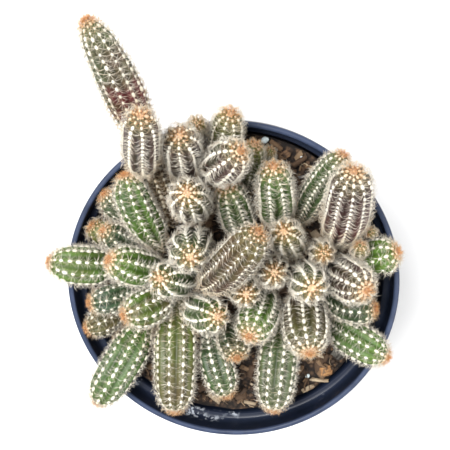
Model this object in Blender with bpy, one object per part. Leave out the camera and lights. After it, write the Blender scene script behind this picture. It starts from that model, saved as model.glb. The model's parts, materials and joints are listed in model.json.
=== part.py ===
"""A potted peanut cactus: a small nursery pot, its soil, and a clump of finger-thick stems."""

import math

import bmesh
import bpy
import numpy as np

MM = 0.001
GAP = 0.3                     # clearance left between neighbouring pieces, in mm

# The pot, in mm. Its origin is the middle of its underside.
POT_HEIGHT = 88.0
RIM_RADIUS = 54.0
RIM_INNER_RADIUS = 52.2
BASE_RADIUS = 37.5
SHOULDER_HEIGHT = 79.0        # where the wall steps out into the deep rim band
SHOULDER_RADIUS = 50.6
LIP_DEPTH = 1.9               # the thicker lip around the rim's top
WALL = 1.1
FLOOR = 1.5
PAD_RADIUS = 19.0             # flat pad in the middle of the underside
RECESS = 2.0                  # depth of the ring-shaped hollow under the floor
FOOT_WIDTH = 3.5
FOOT_CHAMFER = 0.8
DRAIN_RADIUS = 3.5
DRAIN_CIRCLE = 26.5
DRAIN_COUNT = 6
DRAIN_CUT_DEPTH = 12.0
POT_SIDES = 64
DRAIN_SIDES = 16

# The soil, in mm.
SOIL_TOP = 79.0
SOIL_BUMP = 0.7
SOIL_SECTORS = 40
SOIL_RINGS = 8
SOIL_EDGE = 1.4               # height of the sloping edge under the soil's top

# Stems: the narrow neck that each grows from, and how finely each is modelled.
NECK = 0.48                   # share of the girth
FULL_AT = 0.32                # share of the length
TAPER_FROM = 0.42
TAPER = 0.20
DOME = 0.62                   # length of the rounded end, as a share of the girth
CHAIN = 12
BODY_STATIONS = 7
DOME_STATIONS = (1.0, 0.62, 0.3, 0.1, 0.012)
STEM_SIDES_STEP = 3           # bevel resolution: ten sides
DOME_POWER = 2.2              # above 2, the end is blunter than half a ball
LEAST_RADIUS = 0.3            # in mm

# How crowded stems move aside: the share of each overlap undone in one step, and the rest.
SETTLING_STEPS = 300
PUSH = 0.10
POT_PUSH = 0.5
PULL_BACK = 0.02              # how firmly a crowded stem returns to its own place
CROWD = 0.5                   # how much a point with many neighbours is held back
BEND_EASE = 0.25              # how far a push spreads to the points beside it
END_EASE = 0.4
WALL_CLEARANCE = 1.5          # between a stem and the inside of the rim band, in mm
RIM_CLEARANCE = 2.2           # between a stem and the middle of the rim's top, in mm
RIM_REACH = 2.0               # how far below its top the rim still lifts a stem, in mm
LEAST_LIFT = 0.3
FINE = 5                      # points tried between two points of a stem's middle line

# Each stem in mm: name, foot, tip, girth at its thickest, sideways sway, upward arch, skin colour.
STEMS = (
    ("stem_long", (-22, 19, 85), (-38, 85, 120), 13.0, 3, 0, "maroon"),
    ("stem_back_1", (-22, 42, 103), (-18, 64, 139), 11.0, 0, 1, "olive"),
    ("stem_back_2", (-14, 34, 84), (-13, 55, 126), 12.2, 0, 0, "maroon"),
    ("stem_back_3", (-13, 41, 98), (-1, 52, 123), 12.0, 0, 2, "olive"),
    ("stem_back_4", (-8, 43, 84), (-3, 60, 107), 10.4, 0, 0, "yellow_green"),
    ("stem_back_5", (-8, 47, 86), (-7, 55, 108), 6.4, 0, 0, "yellow_green"),
    ("stem_back_6", (5, 33, 84), (7, 49, 100), 8.2, 0, 0, "yellow_green"),
    ("stem_back_7", (18, 19, 84), (15, 44, 112), 11.6, 0, 2, "bright_green"),
    ("stem_back_8", (2, 17, 84), (-4, 39, 104), 11.2, 0, 0, "bright_green"),
    ("stem_crown_1", (-8, 3, 99), (8, 31, 131), 12.6, 0, 3, "grey_green"),
    ("stem_crown_2", (-12, 11, 84), (-6, 16, 126), 12.4, 0, 0, "olive"),
    ("stem_crown_3", (-11, 19, 84), (-10, 37, 124), 12.6, 0, 0, "olive"),
    ("stem_crown_4", (18, 9, 84), (15, 26, 118), 10.6, 0, 0, "grey_green"),
    ("stem_crown_5", (25, 6, 84), (26, 14, 122), 11.4, 0, 0, "grey_green"),
    ("stem_crown_6", (14, 4, 84), (15, 15, 118), 9.8, 0, 0, "grey_green"),
    ("stem_crown_7", (4, 1, 84), (2, 11, 116), 10.4, 0, 0, "grey_green"),
    ("stem_crown_8", (-14, -5, 84), (-3, 3, 115), 11.8, 0, 2, "bright_green"),
    ("stem_crown_9", (-14, 8, 84), (-19, 16, 114), 11.6, 0, 2, "bright_green"),
    ("stem_right_1", (22, 16, 84), (36, 43, 112), 9.8, 0, 2, "bright_green"),
    ("stem_right_2", (34, 14, 84), (34, 47, 124), 14.2, 0, 2, "maroon"),
    ("stem_right_3", (36, 12, 84), (47, 17, 97), 12.0, 0, 2, "bright_green"),
    ("stem_right_4", (30, 12, 86), (39, 12, 114), 12.8, 0, 3, "maroon"),
    ("stem_right_5", (29, -6, 84), (44, -3, 100), 11.4, 0, 3, "dark_green"),
    ("stem_right_6", (32, -11, 84), (50, -19, 96), 12.2, 0, 2, "bright_green"),
    ("stem_front_1", (12, -1, 84), (7, -6, 110), 13.2, 0, 2, "bright_green"),
    ("stem_front_2", (21, -2, 84), (24, -12, 110), 14.4, 0, 2, "olive"),
    ("stem_front_3", (16, -15, 81), (14, -40, 95), 13.4, 0, 3, "grey_green"),
    ("stem_front_4", (-1, -15, 84), (2, -20, 100), 10.4, 0, 2, "dark_green"),
    ("stem_front_5", (-8, -19, 84), (-1, -37, 92), 11.6, 0, 2, "bright_green"),
    ("stem_front_6", (-18, -4, 84), (-18, -39, 98), 14.4, 0, 3, "olive"),
    ("stem_front_7", (-28, -12, 84), (-44, -38, 96), 13.4, 0, 3, "bright_green"),
    ("stem_left_1", (-36, -11, 84), (-47, -15, 90), 10.2, 0, 1, "olive"),
    ("stem_left_2", (-32, -3, 84), (-46, -4, 95), 10.0, 0, 2, "teal_green"),
    ("stem_left_3", (-38, 6, 84), (-57, 11, 97), 13.0, 0, 3, "bright_green"),
    ("stem_left_4", (-22, 8, 86), (-35, 16, 107), 12.4, 0, 3, "bright_green"),
    ("stem_left_5", (-20, -2, 85), (-33, -4, 103), 12.4, 0, 3, "bright_green"),
    ("stem_left_6", (-28, 14, 85), (-36, 23, 99), 9.6, 0, 1, "teal_green"),
    ("stem_left_7", (-38, 14, 83), (-43, 20, 90), 9.0, 0, 1, "yellow_green"),
    ("stem_left_8", (-32, 20, 84), (-39, 30, 93), 10.0, 0, 1, "teal_green"),
    ("stem_left_9", (-27, 11, 84), (-33, 39, 98), 12.0, 0, 3, "bright_green"),
    ("pup_right_1", (38, 14, 92), (36, 23, 104), 5.0, 0, 0, "yellow_green"),
    ("pup_right_2", (30, 8, 86), (30, 16, 112), 7.4, 0, 0, "yellow_green"),
    ("pup_right_3", (41, 20, 92), (35, 24, 99), 3.4, 0, 0, "yellow_green"),
    ("pup_back", (11, 40, 80), (12, 45, 88), 4.2, 0, 0, "yellow_green"),
)

# Loose bits on the soil: name, place (x, y), size (x, y, z) in mm, turn in degrees, stuff.
LOOSE_BITS = (
    ("perlite_bead", (10, 46.5), (2.6, 2.2, 1.6), 20, "perlite"),
    ("perlite_grain_back", (21.5, 41.5), (1.5, 1.2, 1.0), 0, "perlite"),
    ("perlite_grain_front", (25.5, -34.8), (1.7, 1.4, 1.0), 50, "perlite"),
    ("wood_sliver_back", (24.5, 38.0), (6.0, 1.2, 0.9), -22, "pale_wood"),
    ("bark_chip_back", (16.5, 41.5), (4.2, 2.8, 1.2), 35, "bark"),
    ("grey_twig_back", (21.5, 34.5), (5.6, 1.0, 1.0), 8, "grey_twig"),
    ("bark_chip_front", (31.5, -32.5), (4.6, 3.8, 1.5), 15, "orange_bark"),
    ("wood_stick_front", (29.5, -36.4), (6.4, 1.3, 1.0), -4, "pale_wood"),
    ("wood_sliver_front", (25.5, -39.5), (5.0, 1.8, 0.8), 30, "pale_wood"),
    ("bark_flake_front", (36.5, -25.5), (7.0, 4.6, 1.1), 55, "dark_bark"),
)

# Colour, roughness of every finish.
FINISHES = {
    "pot_plastic": ((0.012, 0.017, 0.030), 0.38),
    "soil_mix": ((0.085, 0.050, 0.030), 0.95),
    "maroon": ((0.120, 0.045, 0.050), 0.60),
    "olive": ((0.130, 0.125, 0.040), 0.60),
    "yellow_green": ((0.300, 0.330, 0.080), 0.60),
    "bright_green": ((0.105, 0.250, 0.040), 0.55),
    "grey_green": ((0.140, 0.170, 0.085), 0.60),
    "dark_green": ((0.050, 0.110, 0.035), 0.60),
    "teal_green": ((0.080, 0.190, 0.095), 0.60),
    "perlite": ((0.700, 0.780, 0.790), 0.80),
    "pale_wood": ((0.420, 0.330, 0.220), 0.85),
    "bark": ((0.180, 0.100, 0.050), 0.90),
    "grey_twig": ((0.220, 0.200, 0.190), 0.90),
    "orange_bark": ((0.380, 0.190, 0.070), 0.85),
    "dark_bark": ((0.070, 0.065, 0.055), 0.85),
}


def clear_scene():
    for old in list(bpy.data.objects):
        bpy.data.objects.remove(old, do_unlink=True)


def finish(name):
    """The material of this name, made the first time that it is asked for."""
    if name in bpy.data.materials:
        return bpy.data.materials[name]
    colour, roughness = FINISHES[name]
    material = bpy.data.materials.new(name)
    material.use_nodes = True
    shader = material.node_tree.nodes["Principled BSDF"]
    shader.inputs["Base Color"].default_value = (*colour, 1.0)
    shader.inputs["Roughness"].default_value = roughness
    shader.inputs["Metallic"].default_value = 0.0
    return material


def add_object(name, data, finish_name):
    thing = bpy.data.objects.new(name, data)
    bpy.context.collection.objects.link(thing)
    data.materials.append(finish(finish_name))
    return thing


def mesh_object(name, form, finish_name, sharp_degrees=40):
    """A named object from a bmesh, which it frees."""
    mesh = bpy.data.meshes.new(name)
    form.to_mesh(mesh)
    form.free()
    mesh.shade_smooth()
    mesh.set_sharp_from_angle(angle=math.radians(sharp_degrees))
    return add_object(name, mesh, finish_name)


def turned(form, profile, sides):
    """Turns a closed outline of (radius, height) points in mm about Z."""
    points = [form.verts.new((r * MM, 0.0, z * MM)) for r, z in profile]
    edges = [form.edges.new((a, b)) for a, b in zip(points, points[1:])]
    bmesh.ops.spin(
        form, geom=points + edges, axis=(0, 0, 1), cent=(0, 0, 0),
        angle=math.tau, steps=sides, use_merge=True,
    )
    bmesh.ops.remove_doubles(form, verts=form.verts, dist=1e-6)
    bmesh.ops.recalc_face_normals(form, faces=form.faces)


def wall_radius(height):
    """Outer radius of the tapered wall below the shoulder."""
    return BASE_RADIUS + (SHOULDER_RADIUS - BASE_RADIUS) * height / SHOULDER_HEIGHT


def inner_radius(height):
    """Radius of the pot's inside, at a height in mm."""
    if height >= SHOULDER_HEIGHT + WALL:
        return RIM_INNER_RADIUS - 0.5
    return wall_radius(height) - WALL


def pot_outline():
    """Half of the pot's section, from the underside's middle, up the outside, down the inside."""
    foot_inner = BASE_RADIUS - FOOT_WIDTH
    floor_top = RECESS + FLOOR
    return (
        (0.0, 0.0),
        (PAD_RADIUS, 0.0),
        (PAD_RADIUS + FOOT_CHAMFER, RECESS),
        (foot_inner - FOOT_CHAMFER, RECESS),
        (foot_inner, 0.0),
        (BASE_RADIUS - FOOT_CHAMFER, 0.0),
        (BASE_RADIUS, 0.9),
        (wall_radius(SHOULDER_HEIGHT - 1.0), SHOULDER_HEIGHT - 1.0),
        (SHOULDER_RADIUS + 0.5, SHOULDER_HEIGHT - 0.2),
        (RIM_INNER_RADIUS + 0.5, SHOULDER_HEIGHT + 0.3),
        (RIM_INNER_RADIUS + 0.8, SHOULDER_HEIGHT + 1.2),
        (RIM_INNER_RADIUS + 1.1, POT_HEIGHT - 2.6),
        (RIM_RADIUS, POT_HEIGHT - LIP_DEPTH),
        (RIM_RADIUS, POT_HEIGHT - 0.7),
        (RIM_RADIUS - 0.5, POT_HEIGHT),
        (RIM_INNER_RADIUS + 0.3, POT_HEIGHT),
        (RIM_INNER_RADIUS, POT_HEIGHT - 0.4),
        (RIM_INNER_RADIUS - 0.5, SHOULDER_HEIGHT + WALL + 0.6),
        (SHOULDER_RADIUS - WALL + 0.5, SHOULDER_HEIGHT + WALL),
        (inner_radius(SHOULDER_HEIGHT - 0.6), SHOULDER_HEIGHT - 0.6),
        (inner_radius(floor_top) - 0.4, floor_top + 0.8),
        (inner_radius(floor_top) - 1.4, floor_top),
        (0.0, floor_top),
    )


def make_pot():
    form = bmesh.new()
    turned(form, pot_outline(), POT_SIDES)
    pot = mesh_object("pot", form, "pot_plastic")
    for number in range(DRAIN_COUNT):
        turn = math.tau * (number + 0.5) / DRAIN_COUNT
        cutter = bmesh.new()
        bmesh.ops.create_cone(
            cutter, cap_ends=True, segments=DRAIN_SIDES, radius1=DRAIN_RADIUS * MM,
            radius2=DRAIN_RADIUS * MM, depth=DRAIN_CUT_DEPTH * MM,
        )
        hole = mesh_object(f"drain_cutter_{number + 1}", cutter, "pot_plastic")
        x, y = DRAIN_CIRCLE * math.cos(turn), DRAIN_CIRCLE * math.sin(turn)
        hole.location = (x * MM, y * MM, RECESS * MM)
        hole.hide_render = True
        hole.display_type = "WIRE"
        cut = pot.modifiers.new(f"drain_{number + 1}", "BOOLEAN")
        cut.operation = "DIFFERENCE"
        cut.solver = "EXACT"
        cut.object = hole


def soil_height(x, y):
    """Height of the soil's lumpy top, in mm."""
    lumps = math.sin(x * 0.31 + 0.7) * math.cos(y * 0.27 - 0.4)
    crumbs = 0.5 * math.sin(x * 0.74 - y * 0.52 + 1.9)
    return SOIL_TOP + SOIL_BUMP * (lumps + crumbs) / 1.5


def make_soil():
    """A plug that fills the pot, wider at the top, with a lumpy upper surface."""
    form = bmesh.new()
    floor_top = RECESS + FLOOR
    low = floor_top + GAP
    high = SOIL_TOP - SOIL_EDGE
    levels = (
        (inner_radius(floor_top) - 1.7, low),
        (inner_radius(low + 2.0) - GAP - 0.3, low + 2.0),
        (inner_radius(high) - GAP - 0.25, high),
    )
    rings = []
    for radius, height in levels:
        rings.append(soil_ring(form, radius, lambda x, y, z=height: z))
    top_radius = levels[-1][0] - 0.4
    for ring in range(SOIL_RINGS, 0, -1):
        rings.append(soil_ring(form, top_radius * ring / SOIL_RINGS, soil_height))
    for lower, upper in zip(rings, rings[1:]):
        join_rings(form, lower, upper)
    close_ring(form, rings[0], (0.0, 0.0, low))
    close_ring(form, rings[-1], (0.0, 0.0, soil_height(0.0, 0.0)))
    bmesh.ops.recalc_face_normals(form, faces=form.faces)
    mesh_object("soil", form, "soil_mix")


def soil_ring(form, radius, height_at):
    ring = []
    for number in range(SOIL_SECTORS):
        turn = math.tau * number / SOIL_SECTORS
        x, y = radius * math.cos(turn), radius * math.sin(turn)
        ring.append(form.verts.new((x * MM, y * MM, height_at(x, y) * MM)))
    return ring


def join_rings(form, lower, upper):
    count = len(lower)
    for number in range(count):
        after = (number + 1) % count
        form.faces.new((lower[number], lower[after], upper[after], upper[number]))


def close_ring(form, ring, middle):
    centre = form.verts.new([value * MM for value in middle])
    count = len(ring)
    for number in range(count):
        form.faces.new((ring[number], ring[(number + 1) % count], centre))


def body_shape(along):
    """Thickness as a share of the girth: a neck, a full body and a gentle taper."""
    rise = min(along / FULL_AT, 1.0)
    neck = NECK + (1.0 - NECK) * rise * rise * (3.0 - 2.0 * rise)
    late = max(0.0, (along - TAPER_FROM) / (1.0 - TAPER_FROM))
    return neck * (1.0 - TAPER * late * late)


def long_body_shape(along):
    """The long stem grew in two spurts, with a waist between a slim lower and a fat upper part."""
    waist = math.exp(-(((along - 0.45) / 0.09) ** 2))
    upper = min(max((along - 0.40) / 0.2, 0.0), 1.0)
    late = max(0.0, (along - 0.62) / 0.38)
    return (0.78 + 0.22 * upper) * (1.0 - 0.14 * waist) * (1.0 - 0.42 * late * late)


def thickness(name, along, length, girth):
    """A stem's radius in mm, with its end rounded into a dome."""
    body = long_body_shape(along) if name == "stem_long" else body_shape(along)
    dome = DOME * girth
    left = min(1.0, (1.0 - along) * length / dome)
    rounding = max(0.0, 1.0 - (1.0 - left) ** DOME_POWER)
    return girth / 2 * body * math.sqrt(rounding)


def planned_chain(foot, tip, sway, arch):
    """Points along a stem from its foot to its tip, bent sideways and arched upwards."""
    foot, tip = np.array(foot, float), np.array(tip, float)
    middle = (foot + tip) / 2 + np.array((2.0 * sway, 0.0, 2.0 * arch))
    steps = np.linspace(0.0, 1.0, CHAIN)[:, None]
    return (1 - steps) ** 2 * foot + 2 * steps * (1 - steps) * middle + steps ** 2 * tip


def length_of(chain):
    return float(np.linalg.norm(np.diff(chain, axis=0), axis=1).sum())


def planned_radii(name, chain, girth):
    length = length_of(chain)
    steps = np.linspace(0.0, 1.0, CHAIN)
    return np.array([thickness(name, along, length, girth) for along in steps])


def clear_of_pot(points, radii):
    """How far to move points so that balls around them clear the soil, the wall and the rim."""
    move = np.zeros_like(points)
    out = np.maximum(np.hypot(points[:, 0], points[:, 1]), 1e-6)
    away = points[:, :2] / out[:, None]
    lowest = SOIL_TOP + SOIL_BUMP + GAP + radii
    inside = out < RIM_INNER_RADIUS
    move[:, 2] += np.where(inside, np.maximum(lowest - points[:, 2], 0.0), 0.0)
    deep = inside & (points[:, 2] < POT_HEIGHT)
    over = np.maximum(out + radii + WALL_CLEARANCE - RIM_INNER_RADIUS, 0.0)
    move[:, :2] -= np.where(deep, over, 0.0)[:, None] * away
    rim_middle = (RIM_INNER_RADIUS + RIM_RADIUS) / 2
    sideways, above = out - rim_middle, points[:, 2] - POT_HEIGHT
    distance = np.maximum(np.hypot(sideways, above), 1e-6)
    short = np.maximum(radii + RIM_CLEARANCE + GAP - distance, 0.0)
    lift = np.where(above > -RIM_REACH, short, 0.0)
    move[:, 2] += lift * np.maximum(above / distance, LEAST_LIFT)
    return move


def settle(chains, radii):
    """Moves crowded stems aside until each has room, as growing stems push their neighbours."""
    count = len(chains)
    planned = np.concatenate(chains)
    girths = np.concatenate(radii)
    owner = np.repeat(np.arange(count), CHAIN)
    strangers = owner[:, None] != owner[None, :]
    room = girths[:, None] + girths[None, :] + 2 * GAP
    points = planned.copy()
    for step in range(SETTLING_STEPS):
        give = 1.0 - step / SETTLING_STEPS
        apart = points[:, None, :] - points[None, :, :]
        distance = np.maximum(np.linalg.norm(apart, axis=2), 1e-6)
        overlap = np.where(strangers, np.maximum(room - distance, 0.0), 0.0)
        push = (apart / distance[..., None] * overlap[..., None]).sum(axis=1)
        crowd = np.maximum(1.0, CROWD * (overlap > 0).sum(axis=1))
        push *= PUSH * (2.0 + give) / crowd[:, None]
        push += clear_of_pot(points, girths) * POT_PUSH
        moved = (points + push - planned) * (1.0 - PULL_BACK * give)
        points = planned + eased(moved.reshape(count, CHAIN, 3)).reshape(-1, 3)
    return points.reshape(count, CHAIN, 3)


def eased(moved):
    """Shares each point's move with the points beside it, so that a stem bends gently."""
    soft = moved.copy()
    beside = moved[:, :-2] + moved[:, 2:]
    soft[:, 1:-1] = (1.0 - 2.0 * BEND_EASE) * moved[:, 1:-1] + BEND_EASE * beside
    soft[:, 0] = (1.0 - END_EASE) * moved[:, 0] + END_EASE * moved[:, 1]
    soft[:, -1] = (1.0 - END_EASE) * moved[:, -1] + END_EASE * moved[:, -2]
    return soft


def slimmed(chains, radii):
    """Makes stems slimmer where they would still touch a neighbour."""
    count = len(chains)
    steps = np.linspace(0, CHAIN - 1, (CHAIN - 1) * FINE + 1)
    dense = np.array([finer(chain, steps) for chain in chains])
    thick = np.array([np.interp(steps, range(CHAIN), radius) for radius in radii])
    result = [radius.copy() for radius in radii]
    for number in range(count):
        others = np.arange(count) != number
        for place in range(CHAIN):
            distance = np.linalg.norm(dense[others] - chains[number][place], axis=2)
            own = max(radii[number][place], LEAST_RADIUS)
            room = ((distance - GAP) * own / (own + thick[others])).min()
            result[number][place] = max(LEAST_RADIUS, min(own, room))
    return result


def finer(chain, steps):
    """The points of a middle line at the given steps along it."""
    return np.column_stack([np.interp(steps, range(CHAIN), chain[:, k]) for k in range(3)])


def make_stem(name, chain, planned, radius, girth, finish_name):
    """A tube along the stem's middle line, its thickness set point by point."""
    steps = np.linspace(0.0, 1.0, CHAIN)
    length = length_of(chain)
    dome_start = 1.0 - DOME * girth / length
    body = np.linspace(0.0, dome_start, BODY_STATIONS, endpoint=False)
    dome = [1.0 - share * DOME * girth / length for share in DOME_STATIONS]
    stations = np.concatenate([body, dome])
    share = radius / np.maximum(planned, 0.5)
    trim = np.interp(stations, steps[:-1], share[:-1])
    curve = bpy.data.curves.new(name, "CURVE")
    curve.dimensions = "3D"
    curve.bevel_depth = MM
    curve.bevel_resolution = STEM_SIDES_STEP
    curve.use_fill_caps = True
    spline = curve.splines.new("POLY")
    spline.points.add(len(stations) - 1)
    places = finer(chain, stations * (CHAIN - 1)) * MM
    for point, place, along, slim in zip(spline.points, places, stations, trim):
        point.co = (*place, 1.0)
        point.radius = slim * thickness(name, along, length, girth)
    add_object(name, curve, finish_name)


def make_stems():
    chains = [planned_chain(foot, tip, sway, arch) for _, foot, tip, _, sway, arch, _ in STEMS]
    planned = [planned_radii(row[0], chain, row[3]) for row, chain in zip(STEMS, chains)]
    chains = settle(chains, planned)
    radii = slimmed(chains, planned)
    for row, chain, full, slim in zip(STEMS, chains, planned, radii):
        make_stem(row[0], chain, full, slim, row[3], row[6])


def make_loose_bit(name, place, size, turn, finish_name):
    """A chipped block with uneven corners, lying just clear of the soil."""
    form = bmesh.new()
    bmesh.ops.create_icosphere(form, subdivisions=1, radius=0.5)
    for number, corner in enumerate(form.verts):
        corner.co *= 1.0 + 0.22 * math.sin(number * 2.4 + len(name))
    bmesh.ops.scale(form, vec=[value * MM for value in size], verts=form.verts)
    bit = mesh_object(name, form, finish_name, sharp_degrees=25)
    rise = soil_height(*place) + 0.62 * size[2] + 3.0 * GAP
    bit.location = (place[0] * MM, place[1] * MM, rise * MM)
    bit.rotation_euler = (0.0, 0.0, math.radians(turn))


def main():
    clear_scene()
    make_pot()
    make_soil()
    make_stems()
    for bit in LOOSE_BITS:
        make_loose_bit(*bit)


main()
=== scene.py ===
"""A potted peanut cactus, laid out as a Blender add-on.

A thin nursery pot, loose soil with chips on it, and a clump of ribbed stems under woolly pads
and spines.
"""

import json
import math

import bmesh
import bpy
import numpy as np
from bpy.props import FloatProperty, FloatVectorProperty, IntProperty, PointerProperty
from mathutils import Matrix, Vector, noise


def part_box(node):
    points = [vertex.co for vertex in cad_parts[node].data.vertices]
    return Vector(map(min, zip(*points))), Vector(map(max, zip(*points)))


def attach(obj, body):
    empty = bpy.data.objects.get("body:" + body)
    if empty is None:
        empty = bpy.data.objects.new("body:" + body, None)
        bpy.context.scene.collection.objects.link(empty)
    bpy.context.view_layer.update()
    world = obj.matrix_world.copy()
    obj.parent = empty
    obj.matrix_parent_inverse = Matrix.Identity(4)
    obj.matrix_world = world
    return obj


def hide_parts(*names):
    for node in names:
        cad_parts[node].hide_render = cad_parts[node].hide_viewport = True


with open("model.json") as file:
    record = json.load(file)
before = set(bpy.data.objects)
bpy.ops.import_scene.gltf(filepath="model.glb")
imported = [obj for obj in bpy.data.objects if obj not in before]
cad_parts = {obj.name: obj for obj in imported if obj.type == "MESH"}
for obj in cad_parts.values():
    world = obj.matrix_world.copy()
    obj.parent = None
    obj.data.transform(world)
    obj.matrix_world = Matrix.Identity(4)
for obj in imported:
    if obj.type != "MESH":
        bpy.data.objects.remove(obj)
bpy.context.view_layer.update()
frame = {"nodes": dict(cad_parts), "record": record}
NODES = frame["nodes"]

bl_info = {
    "name": "Potted Peanut Cactus",
    "version": (1, 0, 0),
    "blender": (4, 5, 0),
    "location": "3D View > Sidebar > Cactus",
    "description": "Builds a small potted cactus with ribbed, spiny stems",
    "category": "Add Mesh",
}

MM = 0.001
BAKE_MAP = "OFBake"           # one flat layout per piece, which the spine and chip colours follow

# Half of the pot's section in mm, from the pad under it, up the outside and down the inside.
POT_OUTLINE = (
    (0.6, 0.0), (18.6, 0.0), (19.0, 0.15), (19.4, 0.9), (19.8, 2.0), (26.5, 2.0), (33.2, 2.0),
    (33.6, 0.9), (34.0, 0.12), (34.3, 0.0), (36.6, 0.0), (37.2, 0.25), (37.5, 0.9), (37.8, 2.6),
    (39.3, 11.0), (41.6, 25.0), (43.9, 39.0), (46.3, 53.0), (48.5, 66.4), (49.9, 75.0),
    (50.4, 78.0), (50.6, 78.6), (51.1, 78.8), (52.2, 79.0), (52.7, 79.3), (52.95, 79.8),
    (53.05, 81.0), (53.2, 83.5), (53.3, 85.3), (53.4, 85.8), (53.75, 86.1), (53.93, 86.4),
    (54.0, 86.9), (53.96, 87.35), (53.8, 87.7), (53.5, 87.92), (53.1, 88.0), (52.7, 87.98),
    (52.4, 87.85), (52.2, 87.55), (52.1, 86.6), (51.9, 83.4), (51.72, 81.0), (51.5, 80.5),
    (51.0, 80.2), (50.3, 80.12), (49.8, 80.0), (49.45, 79.5), (49.4, 78.4), (47.6, 68.0),
    (44.0, 46.0), (40.4, 25.0), (37.2, 7.0), (36.6, 4.4), (36.2, 3.7), (35.5, 3.5), (0.6, 3.5),
)
POT_SIDES = 192
DRAIN_RADIUS = 3.5
DRAIN_CIRCLE = 26.5
DRAIN_COUNT = 6

SOIL_RADIUS = 48.55
SOIL_SIDES = 180
SOIL_RINGS = 62
SOIL_SIDE = ((0.6, 3.9), (34.2, 3.9), (36.6, 5.8), (46.9, 66.0))   # radius and height, in mm

# Skin colours, as light gives them back.
PALETTE = {
    "bright": (0.078, 0.150, 0.018),
    "green": (0.044, 0.084, 0.020),
    "deep": (0.022, 0.042, 0.016),
    "teal": (0.036, 0.068, 0.036),
    "lime": (0.140, 0.165, 0.038),
    "olive": (0.080, 0.078, 0.022),
    "brown": (0.088, 0.050, 0.020),
    "maroon": (0.110, 0.011, 0.022),
    "mauve": (0.072, 0.040, 0.036),
    "plum": (0.040, 0.014, 0.014),
    "grey": (0.066, 0.084, 0.038),
    "cream": (0.300, 0.240, 0.110),
}


# Each stem's looks: ribs, skin low and high, a blush and its share, spine tone, spines on a pad,
# size of the pads and, where it has one, the side that the blush lies on.
LOOK_KEYS = ("ribs", "low", "high", "blush", "share", "tone", "thick", "wool", "side")
LOOKS = {
    "stem_long": (10, "brown", "grey", "maroon", 0.85, 0.17, 16, 0.95, (0.5, -0.4, 0.5)),
    "stem_back_1": (8, "plum", "mauve", "olive", 0.35, 0.09, 12, 1.05),
    "stem_back_2": (8, "plum", "mauve", "olive", 0.35, 0.07, 12, 1.05),
    "stem_back_3": (8, "plum", "mauve", "green", 0.45, 0.07, 15, 1.1, (0, 1, 0)),
    "stem_back_4": (8, "olive", "olive", "lime", 0.45, 0.15, 16, 0.95),
    "stem_back_5": (7, "olive", "lime", "bright", 0.30, 0.18, 16, 0.9),
    "stem_back_6": (7, "olive", "lime", "bright", 0.35, 0.15, 16, 0.9),
    "stem_back_7": (8, "bright", "green", "bright", 0.35, 0.10, 16, 1.0),
    "stem_back_8": (8, "deep", "green", "bright", 0.30, 0.12, 16, 1.0),
    "stem_crown_1": (9, "plum", "brown", "olive", 0.45, 0.12, 9, 0.7),
    "stem_crown_2": (8, "mauve", "grey", "green", 0.35, 0.06, 10, 1.1, (0, 1, 0)),
    "stem_crown_3": (9, "mauve", "olive", "mauve", 0.75, 0.07, 10, 1.1, (-1, 0, 0)),
    "stem_crown_4": (8, "green", "olive", "cream", 0.40, 0.17, 10, 1.15),
    "stem_crown_5": (8, "green", "grey", "lime", 0.40, 0.06, 10, 1.3),
    "stem_crown_6": (8, "olive", "brown", "cream", 0.30, 0.12, 10, 1.15),
    "stem_crown_7": (8, "green", "olive", "brown", 0.40, 0.14, 10, 1.15),
    "stem_crown_8": (8, "green", "green", "bright", 0.50, 0.07, 10, 1.25),
    "stem_crown_9": (8, "bright", "green", "grey", 0.35, 0.07, 10, 1.2),
    "stem_right_1": (8, "deep", "green", "grey", 0.40, 0.12, 14, 0.9),
    "stem_right_2": (10, "maroon", "plum", "mauve", 0.35, 0.08, 12, 1.0),
    "stem_right_3": (8, "bright", "bright", "bright", 0.30, 0.10, 16, 1.05),
    "stem_right_4": (9, "plum", "mauve", "olive", 0.40, 0.07, 16, 1.25),
    "stem_right_5": (8, "deep", "deep", "green", 0.40, 0.13, 13, 0.9),
    "stem_right_6": (9, "green", "bright", "green", 0.35, 0.1, 16, 1.1),
    "stem_front_1": (9, "green", "bright", "green", 0.35, 0.06, 16, 1.2),
    "stem_front_2": (9, "plum", "olive", "mauve", 0.50, 0.06, 16, 1.2),
    "stem_front_3": (9, "green", "grey", "olive", 0.35, 0.08, 17, 1.15),
    "stem_front_4": (8, "deep", "deep", "brown", 0.40, 0.21, 13, 0.8),
    "stem_front_5": (8, "deep", "green", "grey", 0.35, 0.11, 16, 1.05),
    "stem_front_6": (9, "bright", "olive", "brown", 0.45, 0.12, 17, 1.05, (0, 0.8, 0.6)),
    "stem_front_7": (9, "green", "green", "bright", 0.45, 0.09, 16, 1.1),
    "stem_left_1": (8, "deep", "olive", "brown", 0.50, 0.18, 14, 0.85),
    "stem_left_2": (8, "green", "teal", "deep", 0.35, 0.13, 16, 1.0),
    "stem_left_3": (9, "green", "bright", "olive", 0.35, 0.12, 17, 1.15),
    "stem_left_4": (8, "bright", "bright", "green", 0.30, 0.09, 16, 1.2),
    "stem_left_5": (8, "green", "bright", "brown", 0.75, 0.09, 16, 1.15, (0.2, 0.1, 1)),
    "stem_left_6": (7, "green", "teal", "grey", 0.50, 0.09, 17, 1.05),
    "stem_left_7": (7, "olive", "lime", "brown", 0.40, 0.18, 13, 0.8),
    "stem_left_8": (8, "green", "grey", "teal", 0.40, 0.15, 13, 0.8),
    "stem_left_9": (9, "bright", "green", "bright", 0.60, 0.12, 16, 0.95),
    "pup_right_1": (7, "olive", "lime", "brown", 0.40, 0.27, 14, 0.8),
    "pup_right_2": (7, "olive", "olive", "cream", 0.40, 0.21, 15, 1.0),
    "pup_right_3": (7, "brown", "lime", "brown", 0.40, 0.3, 14, 0.7),
    "pup_back": (7, "lime", "lime", "cream", 0.40, 0.15, 14, 0.8),
}

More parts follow.
